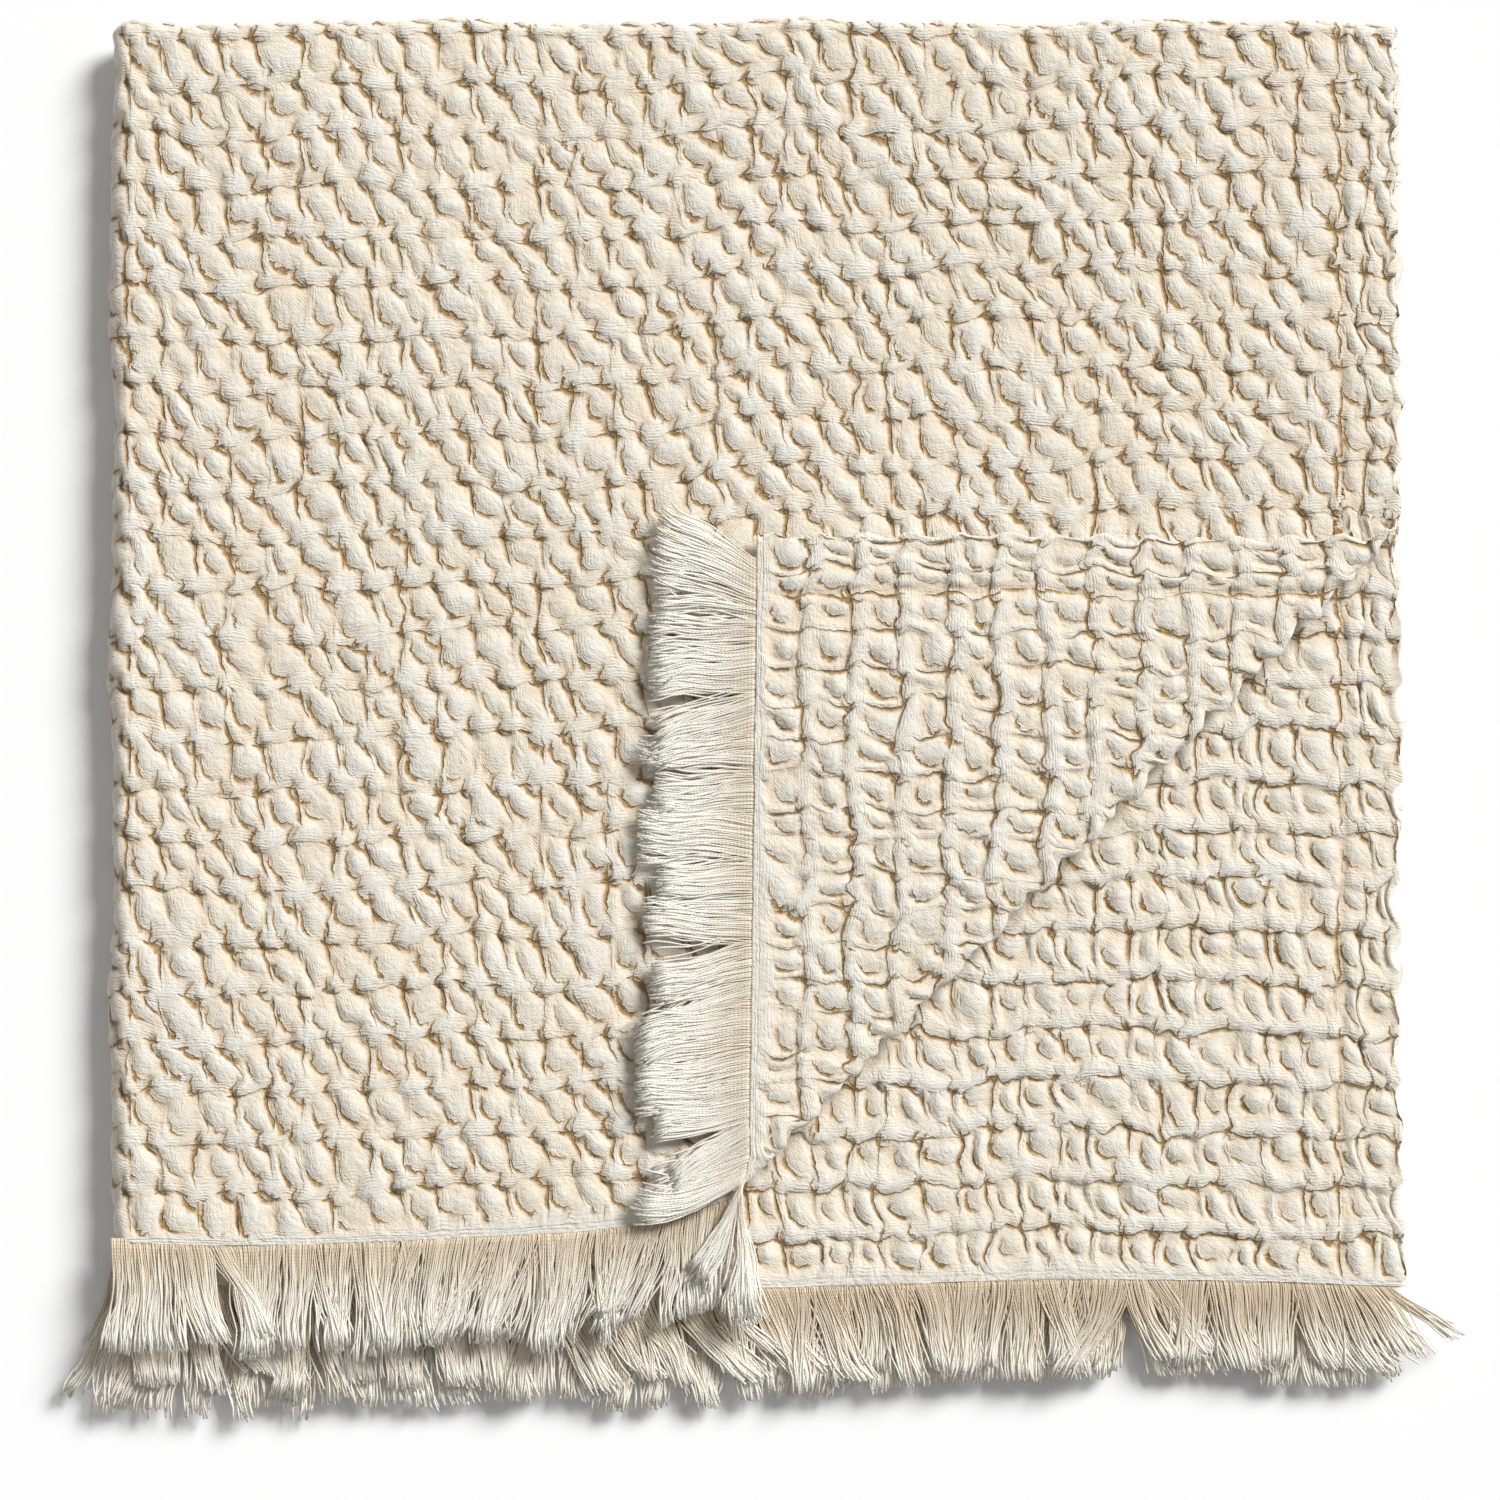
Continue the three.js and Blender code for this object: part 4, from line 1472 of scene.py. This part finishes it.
@dataclass(frozen=True)
class HemFringe(FringeRun):
    """Fringe along a hem line, hanging over the layer under it."""

    hem: Layer = Layer.TOP
    under: Layer = Layer.SECOND
    start: float = -322.0
    end: float = 319.0
    lean: float = 0.0
    phase: float = 0.0
    drop: Line = Line((0, 1), (0, 0))
    sway: float = 0.16
    sway_length: float = 58.0
    left_flare: float = 0.28
    right_flare: float = 0.24
    flare_reach: float = 45.0
    taper: float = 0.0
    taper_from: float = -100.0
    taper_reach: float = 200.0

    def longer(self, station: Array) -> Array:
        """Yarns get shorter from the middle of the blanket to its right."""
        return 1 - self.taper * np.clip((station - self.taper_from) / self.taper_reach, 0, 1)

    def stations(self) -> Array:
        """Positions of the yarns along x."""
        return np.arange(self.start, self.end, self.spacing)

    def roots(self, station: Array) -> Array:
        """Places on the hem line, as x and y."""
        return np.stack([station, HEMS[self.hem].over(station)], axis=-1)

    def bearing(self, station: Array) -> Array:
        """Down the picture, swaying slowly along the run and flaring at both ends."""
        left = self.left_flare * np.clip(1 - (station - self.start) / self.flare_reach, 0, 1)
        right = self.right_flare * np.clip(1 - (self.end - station) / self.flare_reach, 0, 1)
        sway = self.sway * np.sin(station / self.sway_length + self.phase)
        return -QUARTER + self.lean + sway + right - left

    def level(self, x: Array, y: Array, reach: Array) -> Array:
        """Heights by the distance past the hem of the layer under the run."""
        fallen = self.drop.over(HEMS[self.under].over(x) - y)
        return np.where(reach <= 0, self.drop.value[0], fallen)

    def hand(self) -> float:
        """Stations grow with x, which is to the left of the bearing."""
        return -1.0


@dataclass(frozen=True)
class FlapFringe(FringeRun):
    """Fringe along the turned corner's edge, pointing left and fanning out at both ends."""

    drop: Line = Line((0, 14, 45), (30.2, 28.9, 28.6))
    fan: Line = Line(
        (0, 4, 9, 16, 28, 42, 58, 140, 270, 300, 322),
        (1.5, 1.3, 0.95, 0.66, 0.48, 0.32, 0.14, 0.03, -0.04, -0.2, -0.55),
    )
    loose: Line = Line((0, 60, 110), (1.6, 1.6, 1.0))
    apart: Line = Line((0, 16, 58, 400), (0, 64, 127, 469))
    hang: Line = Line((0, 8, 16), (1.28, 1.06, 1.0))
    first_yarn: float = 0.5
    last_gap: float = 2.0
    tip_end: float = 16.0
    tip_crowd: float = 4.0
    turn_end: float = 58.0
    turn_crowd: float = 1.5
    hem_from: float = -10.0
    hem_points: int = 200
    hem_fall: float = 3.0
    hem_fall_reach: float = 12.0

    def looseness(self, station: Array) -> Array:
        """Locks near the fold turn and curl more."""
        return self.loose.over(station)

    def spread(self, station: Array) -> Array:
        """Stations pulled apart near the fold, where the yarns fan out."""
        return self.apart.over(station)

    def longer(self, station: Array) -> Array:
        """Yarns next to the fold hang lower."""
        return self.hang.over(station)

    def stations(self) -> Array:
        """Positions of the yarns up the edge, closer together near the fold."""
        tip = np.arange(self.first_yarn, self.tip_end, self.spacing / self.tip_crowd)
        turn = np.arange(self.tip_end, self.turn_end, self.spacing / self.turn_crowd)
        rest = np.arange(self.turn_end, self.fan.at[-1] - self.last_gap, self.spacing)
        return np.concatenate([tip, turn, rest])

    def roots(self, station: Array) -> Array:
        """Places on the turned edge, going up it.

        Args:
            station: Distances up from the fold.

        Returns:
            The top hem's line, mirrored over the diagonal fold, as x and y.
        """
        line = self.plan.turn_start
        hem_x = np.linspace(self.hem_from, self.plan.right_x, self.hem_points)
        hem_y = HEMS[Layer.TOP].over(hem_x)
        shift = np.pi * self.plan.half_pitch * ROOT_TWO
        turned = hem_x - hem_y - line >= 0
        turned_x = (hem_y + line + shift / 2)[turned]
        turned_y = (hem_x - line - shift / 2)[turned]
        up = turned_y - turned_y[0]
        return np.stack([np.interp(station, up, turned_x), np.interp(station, up, turned_y)], axis=-1)

    def bearing(self, station: Array) -> Array:
        """To the left, turned down near the fold and up at the free corner."""
        return np.pi + self.fan.over(station)

    def level(self, x: Array, y: Array, reach: Array) -> Array:
        """Heights by the reach, falling past the top layer's hem."""
        past = HEMS[Layer.TOP].over(x) - y
        return self.drop.over(reach) - self.hem_fall * np.clip(past / self.hem_fall_reach, 0, 1)


class Value:
    """A number on a node's socket, with the operators that add Math nodes."""

    def __init__(self, graph: "Graph", socket: Socket) -> None:
        """Keep the socket and the graph that it is in."""
        self.graph = graph
        self.socket = socket

    def _with(self, operation: str, first: "Value | float", second: "Value | float") -> "Value":
        """Add a Math node on two operands."""
        node = self.graph.node("ShaderNodeMath", {"operation": operation}, {0: first, 1: second})
        return Value(self.graph, node.outputs[0])

    def __add__(self, other: "Value | float") -> "Value":
        """Sum."""
        return self._with("ADD", self, other)

    def __radd__(self, other: float) -> "Value":
        """Sum with a number on the left."""
        return self._with("ADD", other, self)

    def __sub__(self, other: "Value | float") -> "Value":
        """Difference."""
        return self._with("SUBTRACT", self, other)

    def __rsub__(self, other: float) -> "Value":
        """Difference from a number on the left."""
        return self._with("SUBTRACT", other, self)

    def __mul__(self, other: "Value | float") -> "Value":
        """Product."""
        return self._with("MULTIPLY", self, other)

    def __rmul__(self, other: float) -> "Value":
        """Product with a number on the left."""
        return self._with("MULTIPLY", other, self)

    def root(self) -> "Value":
        """Square root of the number."""
        return self._with("SQRT", self, 0.0)

    def inverse(self) -> "Value":
        """One over the number."""
        return self._with("DIVIDE", 1.0, self)

    def size(self) -> "Value":
        """The number without its sign."""
        return self._with("ABSOLUTE", self, 0.0)

    def most(self, other: "Value | float") -> "Value":
        """The greater of two numbers."""
        return self._with("MAXIMUM", self, other)

    def sine(self) -> "Value":
        """Sine of the number."""
        return self._with("SINE", self, 0.0)

    def held(self) -> "Value":
        """The number kept between nought and one."""
        node = self.graph.node("ShaderNodeClamp", {}, {"Value": self})
        return Value(self.graph, node.outputs[0])


class Graph:
    """Nodes of one material."""

    def __init__(self, name: str) -> None:
        """Start a material with a shader and its output."""
        self.material = bpy.data.materials.new(name)
        self.material.use_nodes = True
        self.tree = self.material.node_tree
        self.shader = self.tree.nodes["Principled BSDF"]

    def node(self, kind: str, settings: dict, inputs: dict) -> bpy.types.Node:
        """Add a node.

        Args:
            kind: Type name of the node.
            settings: Properties, set first.
            inputs: Values or links of its sockets, by name or number.

        Returns:
            The node.
        """
        made = self.tree.nodes.new(kind)
        for key, setting in settings.items():
            setattr(made, key, setting)
        for key, value in inputs.items():
            self.feed(made.inputs[key], value)
        return made

    def feed(self, socket: Socket, value: object) -> None:
        """Link a socket to a value, or set its own number."""
        source = value.socket if isinstance(value, Value) else value
        if isinstance(source, Socket):
            self.tree.links.new(source, socket)
        else:
            socket.default_value = source

    def attribute(self, name: str) -> Value:
        """A number stored on the mesh."""
        node = self.node("ShaderNodeAttribute", {"attribute_name": name}, {})
        return Value(self, node.outputs["Fac"])

    def map(self, name: str) -> Socket:
        """One of the mesh's own maps."""
        return self.node("ShaderNodeUVMap", {"uv_map": name}, {}).outputs["UV"]

    def parts(self, vector: Socket) -> tuple[Value, Value]:
        """The first two parts of a vector."""
        split = self.node("ShaderNodeSeparateXYZ", {}, {0: vector})
        return Value(self, split.outputs[0]), Value(self, split.outputs[1])

    def stretched(self, vector: Socket, by: Triple) -> Socket:
        """A vector with each part multiplied."""
        return self.node("ShaderNodeVectorMath", {"operation": "MULTIPLY"}, {0: vector, 1: by}).outputs[0]

    def noise(self, vector: Socket, scale: Triple, detail: float) -> Value:
        """Noise between nought and one at a place, with a scale for each part of the place."""
        inputs = {"Vector": self.stretched(vector, scale), "Scale": 1.0, "Detail": detail}
        return Value(self, self.node("ShaderNodeTexNoise", {}, inputs).outputs["Fac"])

    def blend(self, share: Value, first: object, second: object) -> Socket:
        """Mix two colours."""
        node = self.node("ShaderNodeMix", {"data_type": "RGBA"}, {0: share, 6: first, 7: second})
        return node.outputs[2]

    def bump(self, height: Value, distance: float, strength: float) -> None:
        """Raise the shader's normal by a height in shares of a distance in metres."""
        inputs = {"Height": height, "Distance": distance, "Strength": strength}
        self.dress({"Normal": self.node("ShaderNodeBump", {}, inputs).outputs["Normal"]})

    def dress(self, inputs: dict) -> None:
        """Set or link the shader's sockets, by name."""
        for key, value in inputs.items():
            self.feed(self.shader.inputs[key], value)


@dataclass(frozen=True)
class CottonFinish:
    """Undyed cotton: cream threads, and painted shade: warmer on a cell's floor, brown in the crevices
    round its lumps.
    """

    name: str = "undyed_cotton"
    light: Colour = (0.79, 0.765, 0.69, 1)
    warm: Colour = (0.785, 0.72, 0.605, 1)
    # Painted shade on the floor of a cell, where it lies lower than its lumps.
    low: Colour = (0.79, 0.68, 0.53, 1)
    # Painted shade in the crevices round the lumps, on their sides away from the light.
    painted_crevice_shade: Colour = (0.36, 0.23, 0.10, 1)
    thread: float = 0.0016
    thread_stray: float = 16.0
    stray_scale: Triple = (160, 160, 1)
    lumps_scale: Triple = (330, 330, 1)
    fuzz_scale: Triple = (1300, 1300, 1)
    patch_scale: Triple = (45, 45, 1)
    facet_scale: Triple = (150, 135, 1)
    warm_share: float = 0.36
    warm_tone: float = 0.3
    warm_stray: float = 1.4
    warm_thread: float = 0.08
    warm_fuzz: float = 0.5
    ragged_stray: float = 0.75
    ragged_lumps: float = 0.5
    # Where the painted shade lies: along the lumps' lower left feet, in the slits, under the welts and in
    # strands.
    side_gain: float = 2.0
    side_from: float = 0.8
    ring_at: float = 0.97
    ring_edge: Pair = (0.06, 0.50)
    ring_patch: Pair = (4.0, 1.1)
    ring_gain: float = 3.0
    slit_edge: Pair = (0.03, 0.17)
    slit_stray: float = 0.25
    under_edge: Pair = (0.02, 0.10)
    under_stray: float = 0.2
    strand_pace: float = 38.0
    strand_stray: float = 9.0
    strand_wave: Pair = (1.6, 0.6)
    strand_at: float = 0.8
    strand_narrow: float = 4.0
    strand_patch: Pair = (4.0, 1.4)
    strand_plain: float = 0.4
    # How dark the painted shade gets in the crevices, along the lumps' feet and in the strands.
    dark_crevice: float = 0.35
    dark_lumps: float = 0.6
    dark_ring: float = 1.5
    dark_strand: float = 0.3
    dark_least: float = 0.1
    high_thread: float = 0.06
    thread_patch: Pair = (4.0, 1.6)
    high_crinkle: float = 0.2
    high_facet: float = 1.6
    high_fuzz: float = 0.12
    deep_ring: float = 0.8
    deep_strand: float = 0.2
    bump: Pair = (0.0025, 0.8)
    roughness: float = 0.92
    sheen: float = 0.1
    sheen_roughness: float = 0.5
    specular: float = 0.2

    @staticmethod
    def patches(noise: Value, shape: Pair) -> Value:
        """Patches between nought and one: the noise times a gain, less a start."""
        gain, start = shape
        return (noise * gain - start).held()

    @staticmethod
    def gap(off: Value, edge: Pair) -> Value:
        """Shade outside an edge: it starts within one width and fades with the square over another."""
        crisp, soft = edge
        fade = (1 - (off - crisp) * (1 / soft)).held()
        return ((off + 0.5 * crisp) * (1 / crisp)).held() * fade * fade

    def ring(self, graph: Graph, name: str, ragged: Value) -> tuple[Value, Value]:
        """Painted shade along a lump's lower left side, away from the light: a dark line and fine strands.

        Args:
            graph: Nodes of the material.
            name: Map with shares of the lump's reach.
            ragged: Noise that moves the line in and out.

        Returns:
            Painted shade that starts at the lump's outline and fades away from it, and strands inside the
            outline.
        """
        u, v = graph.parts(graph.map(name))
        distance = (u * u + v * v + NEAR_NOUGHT).root()
        lower_left_share = (SHADE_DOWN * v - SHADE_LEFT * u) * distance.inverse()
        side = (lower_left_share * self.side_gain - self.side_from).held()
        waves = (distance * self.strand_pace + ragged * self.strand_stray).sine()
        inside = (1 - self.strand_narrow * (distance - self.strand_at).size()).held()
        shade = self.gap(distance - self.ring_at - (ragged - 0.5), self.ring_edge)
        return side * shade, side * self.patches(waves, self.strand_wave) * inside

    def build(self) -> bpy.types.Material:
        """Make the material.

        Threads run along the welts and ribs, and cross in the pillows. Colour goes from light to warm by
        noise, to a warmer painted shade on the floor of a cell, and to a brown painted shade in the
        crevices:
        round pillows and joints, in the slits beside ribs and under welts, on their sides away from the
        light.

        Returns:
            The material.
        """
        graph = Graph(self.name)
        place = graph.map("yarn")
        rib, welt, cavity, crevice, tone = map(graph.attribute, CLOTH_VALUES)
        across, along = graph.parts(place)
        stray = graph.noise(place, self.stray_scale, detail=3.0)
        lumps = graph.noise(place, self.lumps_scale, detail=3.0)
        fuzz = graph.noise(place, self.fuzz_scale, detail=2.0)
        patch = graph.noise(place, self.patch_scale, detail=1.0)
        facets = graph.noise(place, self.facet_scale, detail=1.0)
        turn = FULL_TURN / self.thread
        up_threads = (across * turn + stray * self.thread_stray).sine()
        over_threads = (along * turn + stray * self.thread_stray).sine()
        plain = (1 - rib - welt).held()
        threads = rib * up_threads + welt * over_threads + plain * up_threads * over_threads
        warmth = self.warm_share + self.warm_tone * tone + self.warm_stray * (stray - 0.5)
        warmth = (warmth - self.warm_thread * threads + self.warm_fuzz * (fuzz - 0.5)).held()
        # Painted shade: warmer and darker where a point lies low in its cell.
        body = graph.blend(cavity, graph.blend(warmth, self.light, self.warm), self.low)
        middle = (self.ragged_stray + self.ragged_lumps - 1) / 2
        ragged = self.ragged_stray * stray + self.ragged_lumps * lumps - middle
        pillow, pillow_strands = self.ring(graph, "pillow", ragged)
        joint, joint_strands = self.ring(graph, "joint", ragged)
        rib_at, welt_at = graph.parts(graph.map("ridge"))
        slit = self.gap(-1 * rib_at - self.slit_stray * (stray - 0.5), self.slit_edge)
        under = self.gap(-1 * welt_at - self.under_stray * (stray - 0.5), self.under_edge)
        ring = pillow.most(joint).most(slit).most(under)
        ring = ring * self.patches(patch, self.ring_patch) * (crevice * self.ring_gain).held()
        strands = pillow_strands.most(joint_strands) * self.patches(lumps, self.strand_patch)
        strands = strands * (1 - plain * self.strand_plain)
        # Painted shade, dark brown in the crevices and along the lumps' shaded feet and strands.
        crevice_shade_share = self.dark_crevice * crevice * (self.dark_lumps + lumps) + self.dark_ring * ring
        crevice_shade_share = (crevice_shade_share + self.dark_strand * strands - self.dark_least).held()
        crinkle = 1 - (2 * lumps - 1).size() + self.high_facet * (2 * facets - 1).size()
        height = self.high_thread * threads * self.patches(stray, self.thread_patch)
        height = height + self.high_crinkle * crinkle + self.high_fuzz * fuzz
        height = height - self.deep_ring * ring - self.deep_strand * strands
        graph.dress({
            "Base Color": graph.blend(crevice_shade_share, body, self.painted_crevice_shade),
            "Roughness": self.roughness,
            "Sheen Weight": self.sheen,
            "Sheen Roughness": self.sheen_roughness,
            "Specular IOR Level": self.specular,
        })
        graph.bump(height, *self.bump)
        return graph.material


@dataclass(frozen=True)
class YarnFinish:
    """Loose warp yarn: paler than the cloth at its ends, with painted shade at its root, plied in a slow
    twist.
    """

    name: str = "loose_yarn"
    light: Colour = (0.91, 0.87, 0.78, 1)
    # Colour of the painted shade at the roots and in the shaded runs, also reached by each yarn's random
    # tone and fibres.
    warm: Colour = (0.70, 0.58, 0.415, 1)
    fibre_scale: Triple = (3, 1400, 1)
    plies: int = 2
    twist: float = 3400.0
    # How strong the painted shade is at the root, and how fast it fades along the yarn.
    root_shade: float = 0.85
    warm_reach: float = 1.5
    warm_tone: float = 0.3
    warm_fibre: float = 0.5
    warm_ply: float = 0.1
    high_ply: float = 0.5
    bump: Pair = (0.0003, 0.3)
    roughness: float = 0.85
    sheen: float = 0.25
    sheen_roughness: float = 0.5
    specular: float = 0.2

    def build(self) -> bpy.types.Material:
        """Make the material: each yarn has its own tone, with painted shade at its root, and plies in
        stripes round it.
        """
        graph = Graph(self.name)
        place = graph.map("yarn")
        tone, reach = map(graph.attribute, YARN_VALUES)
        fibres = graph.noise(place, self.fibre_scale, detail=2.0)
        around, along = graph.parts(place)
        plies = (around * (self.plies * FULL_TURN) + along * self.twist).sine()
        # Painted shade: browner near the root and paler to the end, plus the run's painted shade carried in
        # the tone.
        warmth = self.root_shade - self.warm_reach * reach + self.warm_tone * tone
        warmth = (warmth + self.warm_fibre * (fibres - 0.5) - self.warm_ply * plies).held()
        graph.dress({
            "Base Color": graph.blend(warmth, self.light, self.warm),
            "Roughness": self.roughness,
            "Sheen Weight": self.sheen,
            "Sheen Roughness": self.sheen_roughness,
            "Specular IOR Level": self.specular,
        })
        graph.bump(plies * self.high_ply + fibres, *self.bump)
        return graph.material


@dataclass(frozen=True)
class FloorFinish:
    """A matt pale floor with a faint unevenness."""

    name: str = "pale_floor"
    light: Colour = (0.98, 0.98, 0.98, 1)
    shade: Colour = (0.97, 0.97, 0.97, 1)
    scale: Triple = (9, 9, 9)
    roughness: float = 0.95
    specular: float = 0.1

    def build(self) -> bpy.types.Material:
        """Make the material."""
        graph = Graph(self.name)
        place = graph.node("ShaderNodeTexCoord", {}, {}).outputs["Object"]
        colour = graph.blend(graph.noise(place, self.scale, detail=2.0), self.light, self.shade)
        graph.dress({
            "Base Color": colour,
            "Roughness": self.roughness,
            "Specular IOR Level": self.specular,
        })
        return graph.material


@dataclass(frozen=True)
class Studio:
    """Floor, soft light from the upper right, and a camera that looks straight down."""

    floor_half: float = 12.0
    camera_x: float = -0.0025
    camera_y: float = -0.020
    camera_above: float = 2.525
    lens: float = 120.0
    sensor: float = 36.0
    key_from: Triple = (1.04, 1.02, 0.97)
    key_angle: float = 0.42
    key_power: float = 4.15
    fill: float = 0.285

    def floor(self) -> None:
        """Lay the floor as one square."""
        half = self.floor_half
        corners = [(-half, -half, 0), (half, -half, 0), (half, half, 0), (-half, half, 0)]
        mesh = bpy.data.meshes.new("floor")
        mesh.from_pydata(corners, [], [(0, 1, 2, 3)])
        mesh.materials.append(FloorFinish().build())
        piece = bpy.data.objects.new("floor", mesh)
        bpy.context.scene.collection.objects.link(piece)

    def light(self) -> None:
        """Hang the key light and set an even white surround."""
        scene = bpy.context.scene
        lamp = bpy.data.lights.new("key", "SUN")
        lamp.angle = self.key_angle
        lamp.energy = self.key_power
        key = bpy.data.objects.new("key", lamp)
        key.location = self.key_from
        x, y, z = self.key_from
        key.rotation_euler = (0.0, np.arctan2(np.hypot(x, y), z), np.arctan2(y, x))
        scene.collection.objects.link(key)
        world = bpy.data.worlds.new("surround")
        world.use_nodes = True
        background = world.node_tree.nodes["Background"]
        background.inputs["Color"].default_value = (1, 1, 1, 1)
        background.inputs["Strength"].default_value = self.fill
        scene.world = world
        scene.view_settings.view_transform = "Standard"

    def camera(self) -> None:
        """Set the camera over the blanket, with the fringe at the bottom of the picture."""
        scene = bpy.context.scene
        data = bpy.data.cameras.new("camera")
        data.lens = self.lens
        data.sensor_width = self.sensor
        piece = bpy.data.objects.new("camera", data)
        piece.location = (self.camera_x, self.camera_y, self.camera_above)
        scene.collection.objects.link(piece)
        scene.camera = piece


def fringe_runs(plan: FoldPlan) -> list[FringeRun]:
    """List the five runs of fringe.

    Args:
        plan: Folds of the sheet.

    Returns:
        The runs, from the top down.
    """
    # Each run's painted shade darkens the runs that lie under the layers above; the flap's is negative and
    # paints its yarns paler.
    return [
        FlapFringe(
            "flap_fringe", "fringe_flap", 11, plan, spacing=0.26, radius=0.38, painted_shade=-0.4,
            lock_pitch=16.0, lock_turn=0.11, lock_curl=5.0, lock_close=0.18, lock_mix=0.2,
        ),
        HemFringe(
            "top_fringe", "fringe_top", 12, plan, length=58.0, spacing=0.33, radius=0.36, painted_shade=0.9,
            hem=Layer.TOP, under=Layer.SECOND, end=-10.0, lean=-0.02, phase=0.4, right_flare=0.0,
            drop=Line((-20, -2, 8, 40), (23.4, 23.0, 22.4, 20.5)),
        ),
        HemFringe(
            "second_fringe", "fringe_second", 13, plan, spacing=0.32, radius=0.38, painted_shade=2.0,
            lock_pitch=12.0, lock_curl=8.0, lock_close=0.46, lock_mix=0.3,
            hem=Layer.SECOND, under=Layer.THIRD, lean=0.22, phase=2.1, right_flare=0.6, taper=0.12,
            drop=Line((-4, 5, 14, 46), (16.2, 14.4, 12.6, 11.4)),
        ),
        HemFringe(
            "third_fringe", "fringe_third", 14, plan, length=56.0, spacing=0.5, painted_shade=2.0,
            lock_turn=0.10, lock_curl=3.2, lock_close=0.2,
            hem=Layer.THIRD, under=Layer.BOTTOM, lean=-0.03, phase=3.6, taper=0.24,
            drop=Line((22, 46, 70), (9.4, 8.6, 7.6)),
        ),
        HemFringe(
            "bottom_fringe", "fringe_bottom", 15, plan, length=48.0, spacing=0.55, painted_shade=1.8,
            lock_turn=0.10, lock_curl=3.2, lock_close=0.2,
            hem=Layer.BOTTOM, under=Layer.BOTTOM, lean=0.03, phase=5.2, taper=0.30,
            drop=Line((4, 24), (2.2, 1.2)),
        ),
    ]


def report(piece: bpy.types.Object) -> None:
    """Say how many triangles a piece has."""
    mesh = piece.data
    LOG.info("%s: %d triangles", piece.name, len(mesh.loops) - 2 * len(mesh.polygons))


def main() -> None:
    """Build the blanket and its studio, hide the matching parts of model.glb, and log each piece's
    triangles.
    """
    logging.basicConfig(level=logging.INFO, format="%(name)s: %(message)s")
    plan = FoldPlan()
    studio = Studio()
    studio.camera()
    studio.floor()
    studio.light()
    cloth = BlanketCloth(plan).build(CottonFinish().build())
    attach(cloth, BODY)
    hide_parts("cloth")
    report(cloth)
    yarn = YarnFinish().build()
    for run in fringe_runs(plan):
        piece = run.build(yarn)
        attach(piece, BODY)
        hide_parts(run.node)
        report(piece)


if __name__ == "__main__":
    main()
